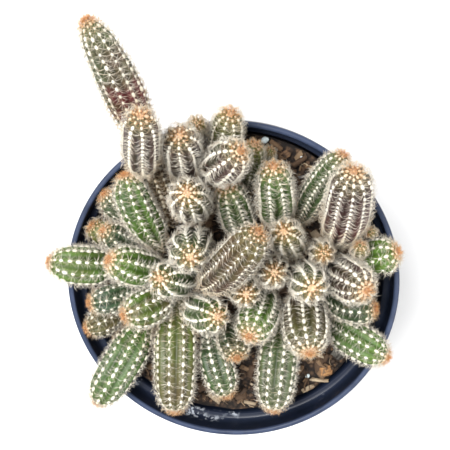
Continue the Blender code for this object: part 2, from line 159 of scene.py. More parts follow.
BIT_SINK = 0.45 * MM          # how far the middle of a loose bit lies under its CAD body's

# Loose bits on the soil: size in mm, turn in degrees, how it is made.
LOOSE_BITS = {
    "perlite_bead": ((2.6, 2.2, 1.6), 20, "bead"),
    "perlite_grain_back": ((1.5, 1.2, 1.0), 0, "bead"),
    "perlite_grain_front": ((1.7, 1.4, 1.0), 50, "bead"),
    "wood_sliver_back": ((6.0, 1.2, 0.9), -22, "chip"),
    "bark_chip_back": ((4.2, 2.8, 1.2), 35, "chip"),
    "grey_twig_back": ((5.6, 1.0, 1.0), 8, "twig"),
    "bark_chip_front": ((4.6, 3.8, 1.5), 15, "chip"),
    "wood_stick_front": ((6.4, 1.3, 1.0), -4, "twig"),
    "wood_sliver_front": ((5.0, 1.8, 0.8), 30, "chip"),
    "bark_flake_front": ((7.0, 4.6, 1.1), 55, "chip"),
}


# ---------------------------------------------------------------- sizes and colours


def mm_prop(name, description, default, low, high):
    """A setting in mm."""
    return FloatProperty(
        name=name, description=description, unit="LENGTH",
        default=default * MM, min=low * MM, max=high * MM,
    )


def float_prop(name, description, default, low, high, **more):
    return FloatProperty(
        name=name, description=description, default=default, min=low, max=high, **more)


def colour_prop(name, description, default):
    return FloatVectorProperty(
        name=name, description=description, default=default,
        subtype="COLOR", size=3, min=0.0, max=1.0,
    )


class PotSettings(bpy.types.PropertyGroup):
    plastic: colour_prop(
        "Plastic", "Colour of the pot's blue-black plastic", (0.0075, 0.0115, 0.024),
    )
    # The rim's top colour: partly real wear, partly painted light from the lamp overhead.
    rim_wear_and_light: colour_prop(
        "Rim wear", "Colour of the dusty, rubbed top of the rim", (0.040, 0.056, 0.105),
    )
    residue: colour_prop(
        "Residue", "Colour of the dried water marks inside the rim", (0.50, 0.54, 0.60),
    )
    sheen: float_prop(
        "Roughness", "Roughness of the clean plastic", 0.34, 0.05, 1.0, subtype="FACTOR",
    )


class SoilSettings(bpy.types.PropertyGroup):
    level: mm_prop(
        "Level", "Height of the soil's top above the underside of the pot", 79.2, 70, 84,
    )
    lumps: mm_prop("Lumps", "Height of the soil's lumps and crumbs", 0.9, 0.0, 3)
    dark: colour_prop("Peat", "Colour of the damp peat", (0.030, 0.018, 0.012))
    pale: colour_prop("Dry crumbs", "Colour of the dry crumbs", (0.170, 0.100, 0.055))
    litter: IntProperty(
        name="Chips", description="How many chips, slivers, threads and crumbs lie on the soil",
        default=1900, min=0, max=5000,
    )


class StemSettings(bpy.types.PropertyGroup):
    coat: mm_prop(
        "Coat", "Thickness of the coat of spines over the skin of a thick stem", 0.55, 0.0, 3,
    )
    rib_depth: float_prop(
        "Rib depth", "Depth of the grooves as a share of the stem's radius", 0.20, 0.0, 0.5,
        subtype="FACTOR",
    )
    ring_step: mm_prop("Ring step", "Distance between the rings of the skin's mesh", 0.50, 0.2, 2)


class SpineSettings(bpy.types.PropertyGroup):
    spacing: mm_prop("Pad spacing", "Distance between two spine pads along a rib", 2.25, 1, 6)
    length: mm_prop("Spine length", "Length of the longest spines of a thick stem", 2.7, 0.5, 8)
    pad: mm_prop("Pad size", "Length of a woolly pad along its rib", 1.58, 0.3, 4)
    tuft: mm_prop("Tuft reach", "How far from the tip the young spines are orange", 3.2, 0.0, 12)


class StageSettings(bpy.types.PropertyGroup):
    floor: colour_prop("Floor", "Colour of the pale floor", (0.93, 0.93, 0.93))
    sky: float_prop("Fill light", "Strength of the even light from all round", 0.34, 0.0, 5.0)
    key: float_prop("Key light", "Power of the large lamp overhead, in watts", 10.5, 0.0, 100.0)


# ---------------------------------------------------------------- modelling helpers


def nothing_selected():
    if bpy.context.object and bpy.context.object.mode != "OBJECT":
        bpy.ops.object.mode_set(mode="OBJECT")
    bpy.ops.object.select_all(action="DESELECT")


def started(name):
    """Names the primitive that was just added."""
    piece = bpy.context.object
    piece.name = name
    piece.data.name = name
    return piece


def picked(*pieces):
    """Selects these pieces alone, the first one active."""
    nothing_selected()
    for piece in pieces:
        piece.select_set(True)
    bpy.context.view_layer.objects.active = pieces[0]


def editing(piece):
    """Opens a piece in edit mode with all of it selected."""
    picked(piece)
    bpy.ops.object.mode_set(mode="EDIT")
    bpy.ops.mesh.select_all(action="SELECT")


def edited():
    bpy.ops.object.mode_set(mode="OBJECT")


def faced_out():
    """Turns every face of the piece being edited outwards."""
    bpy.ops.mesh.select_all(action="SELECT")
    bpy.ops.mesh.normals_make_consistent(inside=False)


def smoothed(piece, degrees=None):
    picked(piece)
    if degrees is None:
        bpy.ops.object.shade_smooth()
    else:
        bpy.ops.object.shade_smooth_by_angle(angle=math.radians(degrees))


def placed_in_mesh(piece):
    """Moves a piece's place, turn and size into its mesh."""
    picked(piece)
    bpy.ops.object.transform_apply(location=True, rotation=True, scale=True)


def turned_piece(name, outline, sides):
    """A ring drawn out along an outline of (radius, height) in mm, closed at both ends."""
    nothing_selected()
    radius, height = outline[0]
    bpy.ops.mesh.primitive_circle_add(vertices=sides, radius=radius * MM, fill_type="NOTHING")
    piece = started(name)
    editing(piece)
    bpy.ops.transform.translate(value=(0, 0, height * MM))
    for wider, higher in outline[1:]:
        rise = {"value": (0, 0, (higher - height) * MM)}
        bpy.ops.mesh.extrude_edges_move(TRANSFORM_OT_translate=rise)
        grow = wider / radius
        bpy.ops.transform.resize(value=(grow, grow, 1), center_override=(0, 0, higher * MM))
        radius, height = wider, higher
    bpy.ops.mesh.select_all(action="SELECT")
    bpy.ops.mesh.fill_holes(sides=0)
    faced_out()
    edited()
    return piece


def points_of(mesh):
    found = np.empty(len(mesh.vertices) * 3, np.float32)
    mesh.vertices.foreach_get("co", found)
    return found.reshape(-1, 3).astype(float)


def set_points(mesh, points):
    mesh.vertices.foreach_set("co", np.asarray(points, np.float32).ravel())
    mesh.update()


def roughened(piece, scale, height, seed):
    """Moves each corner in or out by a share of noise, as on torn or cast stuff."""
    mesh = piece.data
    for corner in mesh.vertices:
        spot = Vector((seed * 7.3, seed * 1.9, seed * 4.1)) + corner.co * scale
        corner.co += corner.normal * noise.fractal(spot, 1.0, 2.0, 3) * height
    mesh.update()


def shape_of(piece):
    """A small shape's corners, and its faces as lists of corner numbers. The piece is removed."""
    points = points_of(piece.data)
    faces = [list(face.vertices) for face in piece.data.polygons]
    mesh = piece.data
    bpy.data.objects.remove(piece)
    bpy.data.meshes.remove(mesh)
    return points, faces


def copies(name, shape, places, axes, layout):
    """One mesh of many copies of a small shape.

    places holds a spot for each copy and axes its three turned and sized axes. layout gives the
    flat map: for each copy and face corner, where it lies.
    """
    points, faces = shape
    count = len(places)
    loops = np.array([corner for face in faces for corner in face])
    starts = np.cumsum([0] + [len(face) for face in faces[:-1]])
    laid = np.einsum("nij,vj->nvi", axes, points) + places[:, None, :]
    mesh = bpy.data.meshes.new(name)
    mesh.vertices.add(count * len(points))
    mesh.vertices.foreach_set("co", laid.astype(np.float32).ravel())
    mesh.loops.add(count * len(loops))
    numbers = loops[None, :] + np.arange(count)[:, None] * len(points)
    mesh.loops.foreach_set("vertex_index", numbers.astype(np.int32).ravel())
    mesh.polygons.add(count * len(faces))
    firsts = starts[None, :] + np.arange(count)[:, None] * len(loops)
    mesh.polygons.foreach_set("loop_start", firsts.astype(np.int32).ravel())
    flat = mesh.uv_layers.new(name=BAKE_MAP)
    flat.data.foreach_set("uv", layout(loops).astype(np.float32).ravel())
    mesh.update(calc_edges=True)
    mesh.shade_smooth()
    piece = bpy.data.objects.new(name, mesh)
    bpy.context.scene.collection.objects.link(piece)
    return piece


def finished(piece, material, nodes=()):
    """Gives a piece its material and ties it to the frame."""
    piece.data.materials.clear()
    piece.data.materials.append(material)
    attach(piece, "root")
    if nodes:
        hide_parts(*nodes)


# ---------------------------------------------------------------- stems


def flat_end(face, seen):
    """The corners of the flat patch that a face belongs to."""
    seen.add(face.index)
    patch, waiting = {face}, [face]
    while waiting:
        for edge in waiting.pop().edges:
            for other in edge.link_faces:
                if other.index not in seen and other.normal.dot(face.normal) > 0.9995:
                    seen.add(other.index)
                    patch.add(other)
                    waiting.append(other)
    return {corner for part in patch for corner in part.verts}


def stem_foot(form):
    """The corners of the larger of the two round flat ends of a stem's CAD body."""
    ends, seen = [], set()
    for face in form.faces:
        if face.index in seen:
            continue
        corners = flat_end(face, seen)
        if len(corners) < 8:
            continue
        middle = sum((corner.co for corner in corners), Vector()) / len(corners)
        reach = np.array([(corner.co - middle).length for corner in corners])
        if reach.std() < 0.12 * reach.mean():
            ends.append((float(reach.mean()), corners))
    ends.sort(key=lambda end: -end[0])
    if len(ends) < 2:
        raise RuntimeError("a stem's CAD body has no two round ends")
    return ends[0][1]


def stem_rings(name):
    """Middles and radii, in mm, of the rings of a stem's CAD body, from foot to tip."""
    form = bmesh.new()
    form.from_mesh(NODES[name].data)
    bmesh.ops.remove_doubles(form, verts=form.verts, dist=1e-7)
    form.normal_update()
    foot = stem_foot(form)
    middles, radii, seen, ring = [], [], set(), set(foot)
    while ring:
        points = np.array([corner.co for corner in ring]) / MM
        middle = points.mean(axis=0)
        middles.append(middle)
        radii.append(np.linalg.norm(points - middle, axis=1).mean())
        seen |= ring
        ring = {edge.other_vert(corner) for corner in ring for edge in corner.link_edges} - seen
    form.free()
    return np.array(middles), np.array(radii)


def rounding(left):
    """How far a stem's end is rounded in: 1 on the body and 0 at the tip."""
    return np.sqrt(np.maximum(0.0, 1.0 - (1.0 - np.clip(left, 0.0, 1.0)) ** 2.2))


def eased_curve(steps, values, at):
    """A smooth curve through values at the given steps."""
    slopes = np.gradient(values, steps, axis=0)
    index = np.clip(np.searchsorted(steps, at) - 1, 0, len(steps) - 2)
    wide = steps[index + 1] - steps[index]
    share = np.clip((at - steps[index]) / wide, 0.0, 1.0)
    if values.ndim > 1:
        wide, share = wide[:, None], share[:, None]
    start, end = values[index], values[index + 1]
    lead, trail = slopes[index] * wide, slopes[index + 1] * wide
    flip = 1.0 - share
    return (
        start * (1 + 2 * share) * flip ** 2 + lead * share * flip ** 2
        + end * (3 - 2 * share) * share ** 2 - trail * flip * share ** 2
    )


def unit(directions):
    """Directions made one long."""
    return directions / np.linalg.norm(directions, axis=-1)[..., None]


def around(angle, side, other):
    """Directions that turn from one side to another by these angles."""
    return np.cos(angle)[..., None] * side + np.sin(angle)[..., None] * other


PLANS = {}
FINE_STEP = 0.1                           # mm between the steps of a stem's middle line
SOIL_DEPTH = np.array((0.0, 0.0, 1.6))    # how far a stem's foot is drawn down, in mm
FOOT_REACH = 2.6                          # how far it is drawn on along itself, in mm
FULL_SIZE = 11.5                          # girth in mm from which spines are full size


def stem_plan(name, stems):
    """Everything that a stem's skin and spines share: its middle line, radii and rib places."""
    if name in PLANS:
        return PLANS[name]
    middles, radii = stem_rings(name)
    if len(middles) < 9:
        raise RuntimeError(f"{name}: only {len(middles)} rings were found")
    look = dict(zip(LOOK_KEYS, LOOKS[name]))
    seed = sorted(LOOKS).index(name)
    lengths = np.concatenate([[0.0], np.cumsum(np.linalg.norm(np.diff(middles, axis=0), axis=1))])
    total = lengths[-1] * 1.001
    girth = 2.0 * radii.max()
    dome = 0.62 * girth
    full = radii / np.maximum(rounding((total - lengths) / dome), 0.12)
    coat = stems.coat / MM * min(1.0, (girth / 11.0) ** 0.8)
    # The foot is drawn on down into the soil.
    back = middles[0] - middles[1]
    back /= np.linalg.norm(back)
    root = middles[0] + FOOT_REACH * back - SOIL_DEPTH
    middles = np.concatenate([[root], middles])
    full = np.concatenate([[full[0] * 0.9], full])
    reach = float(np.linalg.norm(middles[1] - root))
    lengths = np.concatenate([[0.0], lengths + reach])
    plan = {
        "name": name, "look": look, "seed": seed, "girth": girth, "coat": coat,
        "middles": middles, "full": full, "steps": lengths,
        "length": total + reach - 0.85 * coat, "dome": dome - 0.5 * coat, "foot": reach,
        "turn": 0.9 * seed, "twist": 0.25 * math.sin(seed * 2.3),
        "depth": stems.rib_depth, "size": min(1.0, (girth / FULL_SIZE) ** 0.6),
    }
    add_frames(plan)
    PLANS[name] = plan
    return plan


def add_frames(plan):
    """Adds fine steps along a stem, each with its middle, radius and two cross directions."""
    along = np.arange(0.0, plan["length"], FINE_STEP)
    along = np.append(along, plan["length"])
    middle = eased_curve(plan["steps"], plan["middles"], np.minimum(along, plan["steps"][-1]))
    full = np.interp(along, plan["steps"], plan["full"])
    weights = np.hanning(21)
    padded = np.pad(full, 10, mode="edge")
    full = np.convolve(padded, weights / weights.sum(), mode="valid")
    full = full - plan["coat"]
    left = (plan["length"] - along) / plan["dome"]
    radius = np.maximum(full, 0.4) * rounding(left)
    ahead = unit(np.gradient(middle, along, axis=0))
    side = np.cross(ahead[0], (0.31, 0.87, 0.38))
    sides = []
    for direction in ahead:
        side = side - direction * (side @ direction)
        side /= np.linalg.norm(side)
        sides.append(side)
    sides = np.array(sides)
    plan.update(
        along=along, middle=middle, radius=radius, ahead=ahead,
        side=sides, other=np.cross(ahead, sides), slope=np.gradient(radius, along),
    )
    plan["surface"] = np.concatenate(
        [[0.0], np.cumsum(np.hypot(np.diff(radius), np.diff(along)))],
    )


def at_step(plan, key, where):
    """A plan's value at steps along the stem."""
    values = plan[key]
    if values.ndim == 1:
        return np.interp(where, plan["along"], values)
    return np.stack([np.interp(where, plan["along"], values[:, k]) for k in range(3)], axis=-1)


def pad_places(plan, rib, spacing):
    """Distances along the skin, from the tip, of one rib's spine pads."""
    shift = 0.5 if rib % 2 else 0.0
    step = spacing / MM * plan["size"]
    rng = np.random.default_rng(1000 * plan["seed"] + rib)
    last = plan["surface"][-1] - plan["foot"] * 0.8
    places, here, number = [], 0.55 + 0.45 * shift, 0
    while here < last:
        places.append(here + 0.10 * rng.standard_normal())
        number += 1
        growth = min(1.0, 0.42 + 0.13 * (number + shift))
        here += step * growth * (1.0 + 0.05 * rng.standard_normal())
    return np.array(places)


def rib_angle(plan, rib, where):
    share = where / plan["length"]
    return plan["turn"] + math.tau * rib / plan["look"]["ribs"] + plan["twist"] * share


def skin_points(plan, where, columns, spacing):
    """Corners of the skin, ring by ring, and how high on a rib each lies."""
    ribs = plan["look"]["ribs"]
    turn = math.tau * np.arange(columns + 1) / columns
    crest = np.abs(np.cos(ribs * turn / 2.0))
    angle = rib_angle(plan, 0, where)[:, None] + turn[None, :]
    radius = at_step(plan, "radius", where)
    surface = at_step(plan, "surface", where)
    from_tip = plan["surface"][-1] - surface
    fade = np.clip(from_tip / (0.55 * plan["girth"]), 0.0, 1.0) ** 0.7
    depth = plan["depth"] * fade
    share = 1.0 - depth[:, None] * (1.0 - crest[None, :] ** 0.85)
    wave = np.sin(angle * 2.0 + where[:, None] * 0.21 + plan["seed"])
    share *= 1.0 + 0.015 * wave
    swell = np.zeros((len(where), columns + 1))
    for rib in range(ribs):
        pads = pad_places(plan, rib, spacing)
        gap = np.abs(from_tip[:, None] - pads[None, :]).min(axis=1)
        near = np.exp(-((gap / (0.62 * plan["size"])) ** 2)) - 0.35
        centre = rib * columns / ribs
        away = (np.arange(columns + 1) - centre + columns / 2) % columns - columns / 2
        swell += near[:, None] * np.exp(-((away / (0.16 * columns / ribs)) ** 2))[None, :]
    swell *= 0.20 * plan["size"] * np.minimum(1.0, radius / 2.0)[:, None]
    out = radius[:, None] * share + swell
    side = at_step(plan, "side", where)[:, None, :]
    other = at_step(plan, "other", where)[:, None, :]
    cross = around(angle, side, other)
    points = at_step(plan, "middle", where)[:, None, :] + out[..., None] * cross
    return points, np.broadcast_to(crest, out.shape) * np.maximum(fade, 0.2)[:, None], cross


def skin_steps(plan, ring_step):
    """Places of the rings: even on the body and closer on the rounded end."""
    start = plan["length"] - plan["dome"]
    body = np.linspace(0.0, start, max(4, int(start / (ring_step / MM))), endpoint=False)
    count = max(9, int(1.5 * plan["dome"] / (ring_step / MM)))
    share = np.linspace(0.0, 1.0, count)
    return np.concatenate([body, start + plan["dome"] * (1.0 - (1.0 - share) ** 2.1)])


def blended(first, second, share):
    return first + (second - first) * share[..., None]


def skin_colours(plan, points, where, cross):
    """Skin colours: greyer or redder low down, with a cloudy blush and a paler growing tip."""
    look = plan["look"]
    low, high = np.array(PALETTE[look["low"]]), np.array(PALETTE[look["high"]])
    blush = np.array(PALETTE[look["blush"]])
    height = np.clip((where - plan["foot"]) / (plan["length"] - plan["foot"]), 0.0, 1.0)
    rise = np.broadcast_to(np.clip(1.25 * height, 0, 1)[:, None] ** 1.3, points.shape[:2])
    colour = blended(low, high, rise)
    cloud = np.array([
        [noise.fractal(Vector(spot) * 0.16 + Vector((plan["seed"], 0, 0)), 1.0, 2.0, 3)
         for spot in ring]
        for ring in points
    ])
    share = np.clip(0.5 + 1.3 * cloud, 0.0, 1.0)
    if "side" in look:
        facing = np.array(look["side"], float)
        facing /= np.linalg.norm(facing)
        share = np.clip(share - 0.35 + 0.9 * (cross @ facing), 0.0, 1.0)
    if plan["name"] == "stem_long":
        share *= np.exp(-(((height - 0.60) / 0.24) ** 2))[:, None] * 1.25
        share = np.clip(share, 0.0, 1.0)
    colour = blended(colour, blush, share * look["share"])
    young = np.clip((height - 0.86) / 0.14, 0.0, 1.0)[:, None] * np.ones(points.shape[:2])
    return blended(colour, np.array(PALETTE["lime"]), 0.35 * young)


def stem_skin(name, stems, spacing):
    """A grid wrapped round the stem's middle line, with ribs, tubercles and rounded ends."""
    plan = stem_plan(name, stems)
    where = skin_steps(plan, stems.ring_step)
    columns = 8 * plan["look"]["ribs"]
    rows = len(where)
    nothing_selected()
    bpy.ops.mesh.primitive_grid_add(x_subdivisions=columns, y_subdivisions=rows + 1, size=1)
    piece = started(name + "_skin")
    mesh = piece.data
    mesh.uv_layers[0].name = BAKE_MAP
    points, crest, cross = skin_points(plan, where, columns, spacing)
    colour = skin_colours(plan, points, where, cross)
    points[-1] = points[-1].mean(axis=0)
    foot = at_step(plan, "middle", where[:1])
    below = np.repeat(foot[None], columns + 1, axis=1)
    tip = np.repeat(points[-1:, :1] + 0.02 * plan["ahead"][-1], columns + 1, axis=1)
    points = np.concatenate([below, points, tip])
    colour = np.concatenate([colour[:1], colour, colour[-1:]])
    crest = np.concatenate([crest[:1], crest, crest[-1:]])
    if len(mesh.vertices) != points.shape[0] * points.shape[1]:
        raise RuntimeError(f"{name}: the grid doesn't fit its rings")
    set_points(mesh, points.reshape(-1, 3) * MM)
    tint = mesh.attributes.new("skin", "FLOAT_COLOR", "POINT")
    solid = np.concatenate([colour.reshape(-1, 3), np.ones((colour.size // 3, 1))], axis=1)
    tint.data.foreach_set("color", solid.astype(np.float32).ravel())
    high = mesh.attributes.new("crest", "FLOAT", "POINT")
    high.data.foreach_set("value", crest.astype(np.float32).ravel())
    editing(piece)
    bpy.ops.mesh.remove_doubles(threshold=0.004 * MM)
    bpy.ops.mesh.dissolve_degenerate(threshold=0.0005 * MM)
    faced_out()
    edited()
    smoothed(piece)
    return piece


SPINE_RADIUS = 0.019                      # as a share of the spine's length
SPINE_BOW = 0.085                         # how far its middle stands aside, likewise


def spine_shape():
    """One three-sided spine, a unit long along Z, bowed a little towards X."""
    nothing_selected()
    bpy.ops.mesh.primitive_circle_add(vertices=3, radius=SPINE_RADIUS, fill_type="NGON")
    piece = started("spine")
    editing(piece)
    bpy.ops.mesh.extrude_edges_move(TRANSFORM_OT_translate={"value": (SPINE_BOW, 0, 0.52)})
    bpy.ops.transform.resize(value=(0.8, 0.8, 1), center_override=(SPINE_BOW, 0, 0.52))
    bpy.ops.mesh.extrude_edges_move(TRANSFORM_OT_translate={"value": (-SPINE_BOW, 0, 0.48)})
    bpy.ops.mesh.merge(type="CENTER")
    faced_out()
    edited()
    return shape_of(piece)


def pad_shape():
    """One woolly pad, a unit long along X."""
    nothing_selected()
    bpy.ops.mesh.primitive_ico_sphere_add(subdivisions=1, radius=0.5)
    piece = started("pad")
    editing(piece)
    bpy.ops.transform.resize(value=(1.0, 0.62, 0.52))
    edited()
    return shape_of(piece)


def pads_on(plan, spines):
    """Spot, outward and upward directions, and distance from the tip, of each pad on a stem."""
    spots, outs, ups, far = [], [], [], []
    for rib in range(plan["look"]["ribs"]):
        places = pad_places(plan, rib, spines.spacing)
        where = np.interp(plan["surface"][-1] - places, plan["surface"], plan["along"])
        angle = rib_angle(plan, rib, where)
        side, other = at_step(plan, "side", where), at_step(plan, "other", where)
        ahead, slope = at_step(plan, "ahead", where), at_step(plan, "slope", where)[:, None]
        cross = around(angle, side, other)
        radius = at_step(plan, "radius", where)[:, None]
        spots.append(at_step(plan, "middle", where) + radius * cross)
        outs.append(cross - ahead * slope)
        ups.append(ahead + cross * slope)
        far.append(places)
    spots, outs, ups, far = (np.concatenate(parts) for parts in (spots, outs, ups, far))
    return spots, unit(outs), unit(ups), far


def axes_along(direction, bow):
    """Turned axes for copies that point one way and bow another way."""
    direction = unit(direction)
    bow = bow - direction * (bow * direction).sum(axis=1)[:, None]
    bow /= np.maximum(np.linalg.norm(bow, axis=1), 1e-9)[:, None]
    return np.stack([bow, np.cross(direction, bow), direction], axis=-1)


LOW_LIFT, LOW_SPREAD = 23.0, 11.0         # how far spines lift off the skin, in degrees
HIGH_LIFT, HIGH_SPREAD = 62.0, 12.0       # the same for the two middle spines of a pad
LEAST_SPINE_LIFT, MOST_SPINE_LIFT = 4.0, 86.0
MIDDLE_SPINES = 2
SIDEWAYS = 0.24                           # how far spines crowd to the sides, across the grooves
TUFT_SPINES = 44
GOLDEN_TURN = 0.618                       # share of a turn from one tuft spine to the next
TUFT_WIDTH = 1.35                         # mm from the tip's middle to the outermost tuft spine
TUFT_THICKNESS = 1.45
LEAST_TONE, MOST_TONE = 0.02, 0.98
TIP_TONE = 0.80


def spine_copies(plan, spines, pads, rng):
    """Places, turned axes and tones of every spine on a stem."""
    spots, outs, ups, far = pads
    look, size = plan["look"], plan["size"]
    count = look["thick"]
    sides = np.cross(outs, ups)
    total = len(spots)
    turn = (np.arange(count)[None, :] + rng.random((total, 1))) / count * math.tau
    turn = turn - SIDEWAYS * np.sin(2.0 * turn) + 0.20 * rng.standard_normal((total, count))
    near = np.exp(-((far / (spines.tuft / MM * 0.75 * size)) ** 2))[:, None]
    lift = LOW_LIFT + LOW_SPREAD * rng.standard_normal((total, count))
    lift = np.radians(lift) + 0.75 * near
    middle = np.arange(count)[None, :] >= count - MIDDLE_SPINES
    high = np.radians(HIGH_LIFT + HIGH_SPREAD * rng.standard_normal((total, count)))
    lift = np.where(middle, high, lift)
    lift = np.clip(lift, math.radians(LEAST_SPINE_LIFT), math.radians(MOST_SPINE_LIFT))
    flat = np.cos(turn)[..., None] * sides[:, None, :]
    flat = unit(flat + 0.85 * np.sin(turn)[..., None] * ups[:, None, :])
    point = around(lift, flat, outs[:, None, :])
    reach = spines.length / MM * size * (0.72 + 0.28 * np.abs(np.cos(turn)))
    reach = reach * (1.0 - 0.30 * near) * (1.0 + 0.13 * rng.standard_normal((total, count)))
    reach = np.clip(np.where(middle, 0.60 * reach, reach), 0.5, None)
    young = np.exp(-((far / (spines.tuft / MM * size)) ** 2))[:, None]
    age = np.clip((far - 20.0) / 60.0, 0.0, 0.15)[:, None]
    pale = look["tone"] * 0.6
    tone = pale + age + (TIP_TONE - pale) * young
    tone = tone + 0.08 * rng.standard_normal((total, count))
    root = spots[:, None, :] + 0.10 * outs[:, None, :] + 0.22 * size * flat
    every = (total * count, 3)
    bow = np.repeat(outs, count, axis=0)
    axes = axes_along(point.reshape(every), bow) * reach.reshape(-1, 1, 1)
    return root.reshape(every), axes, np.clip(tone, LEAST_TONE, MOST_TONE).ravel()


def tuft_copies(plan, spines, rng):
    """The crowded young spines that stand on a stem's growing tip."""
    count = TUFT_SPINES
    tip = plan["middle"][-1] - 0.45 * plan["ahead"][-1]
    side, other, ahead = plan["side"][-1], plan["other"][-1], plan["ahead"][-1]
    turn = math.tau * np.arange(count) * GOLDEN_TURN
    reach = np.sqrt((np.arange(count) + 0.5) / count)
    flat = around(turn, side, other)
    lean = 0.15 + 1.30 * reach + 0.12 * rng.standard_normal(count)
    point = around(lean, ahead, flat)
    long = spines.length / MM * plan["size"] * (0.40 + 0.34 * reach)
    long = long * (1.0 + 0.12 * rng.standard_normal(count))
    root = tip + TUFT_WIDTH * plan["size"] * reach[:, None] * flat
    stretch = np.array((TUFT_THICKNESS, TUFT_THICKNESS, 1.0))
    axes = axes_along(point, flat) * long[:, None, None] * stretch
    tone = 0.98 - 0.30 * reach ** 2 + 0.06 * rng.standard_normal(count)
    return root, axes, np.clip(tone, LEAST_TONE, MOST_TONE)


def stem_coat(name, stems, spines, shapes):
    """All spines and woolly pads of a stem, as one piece."""
    plan = stem_plan(name, stems)
    rng = np.random.default_rng(plan["seed"] + 50)
    pads = pads_on(plan, spines)
    laid = [spine_copies(plan, spines, pads, rng), tuft_copies(plan, spines, rng)]
    places, axes, tone = (np.concatenate(parts) for parts in zip(*laid))
    spine, pad = shapes

    def spine_layout(loops):
        """Across by tone, up by height on the spine."""
        points = spine[0][loops]
        across = tone[:, None] * 0.94 + 0.03 + 0.55 * points[None, :, 1]
        up = np.broadcast_to(0.02 + 0.66 * np.clip(points[:, 2], 0, 1), across.shape)
        return np.stack([across, up], axis=-1)

    coat = copies(name + "_coat", spine, places * MM, axes * MM, spine_layout)
    spots, outs, ups, far = pads
    young = np.exp(-((far / (spines.tuft / MM * plan["size"])) ** 2))
    shade = 0.04 + 0.5 * plan["look"]["tone"] + 0.5 * young + np.clip((far - 20) / 60, 0, 0.2)
    shade = np.clip(shade + 0.06 * rng.standard_normal(len(far)), 0.03, 0.97)
    long = spines.pad / MM * plan["size"] * plan["look"]["wool"]
    long = long * (1.0 + 0.15 * rng.standard_normal(len(far))) * (1.0 - 0.25 * young)
    long = np.clip(long, 0.35, 2.2)
    turned = np.stack([ups, np.cross(outs, ups), outs], axis=-1) * long[:, None, None]

    def pad_layout(loops):
        """Across by shade, up by height on the pad."""
        points = pad[0][loops]
        across = shade[:, None] * 0.94 + 0.03 + 0.025 * points[None, :, 1]
        up = np.broadcast_to(0.86 + 0.36 * points[:, 2], across.shape)
        return np.stack([across, up], axis=-1)

    wool = copies(name + "_wool", pad, (spots + 0.04 * outs) * MM, turned * MM, pad_layout)
    picked(coat, wool)
    bpy.ops.object.join()
    return coat


# ---------------------------------------------------------------- soil and loose bits


def soil_level(x, y, soil):
    """Height of the soil's top, in metres, at a place in mm."""
    spot = Vector((x * 0.13, y * 0.13, 1.7))
    crumb = Vector((x * 0.62, y * 0.62, 4.2))
    lumps = 0.9 * noise.noise(spot) + 0.55 * noise.noise(crumb)
    return soil.level + soil.lumps * lumps


def soil_plug(soil):
    """Soil that fills the pot, its upper side in many fine rings of lumps and crumbs."""
    top = soil.level / MM
    outline = [*SOIL_SIDE, (48.4, top - 2.0), (SOIL_RADIUS, top - 0.9)]
    for ring in range(SOIL_RINGS):
        outline.append((0.5 + (SOIL_RADIUS - 0.75) * (1.0 - ring / SOIL_RINGS), top))
    piece = turned_piece("soil_bed", outline, SOIL_SIDES)
    mesh = piece.data
    points = points_of(mesh)
    for number, (x, y, z) in enumerate(points):
        if z > soil.level - 0.1 * MM:
            points[number, 2] = soil_level(x / MM, y / MM, soil)
            fine = noise.noise(Vector((x, y, 0.0)) / MM * 1.7)
            points[number, 2] += 0.35 * MM * fine
    set_points(mesh, points)
    smoothed(piece)
    return piece


def chip_shape():
    """A split chip: a block with uneven, chamfered sides."""
    nothing_selected()
    bpy.ops.mesh.primitive_cube_add(size=1.0)
    piece = started("chip")
    editing(piece)
    bpy.ops.transform.resize(value=(1.0, 0.46, 0.22))
    bpy.ops.mesh.bevel(offset=0.07, segments=1)
    edited()
    roughened(piece, 2.1, 0.16, 3)
    return shape_of(piece)


def thread_shape():
    """A crooked root thread: a thin four-sided rod with two kinks."""
    nothing_selected()
    bpy.ops.mesh.primitive_circle_add(vertices=4, radius=0.035, fill_type="NGON")
    piece = started("thread")
    editing(piece)
    for shift in ((0.10, 0.05, 0.30), (-0.06, -0.12, 0.34), (0.09, 0.10, 0.30)):
        bpy.ops.mesh.extrude_edges_move(TRANSFORM_OT_translate={"value": shift})
    bpy.ops.mesh.merge(type="CENTER")
    faced_out()
    edited()
    points, faces = shape_of(piece)
    return points[:, [2, 0, 1]] - np.array((0.47, 0.0, 0.0)), faces


def crumb_shape():
    nothing_selected()
    bpy.ops.mesh.primitive_ico_sphere_add(subdivisions=1, radius=0.5)
    piece = started("crumb")
    roughened(piece, 1.9, 0.35, 8)
    return shape_of(piece)


# Litter: name, share of all, sizes in mm, shades, seed, and how unevenly the bits lie.
LITTER = (
    ("litter_chips", 0.30, (1.4, 5.6), (0.10, 1.0), 11, 0.34),
    ("litter_threads", 0.17, (2.4, 7.5), (0.30, 1.0), 12, 0.30),
    ("litter_crumbs", 0.53, (0.5, 1.9), (0.0, 0.62), 13, 0.8),
)


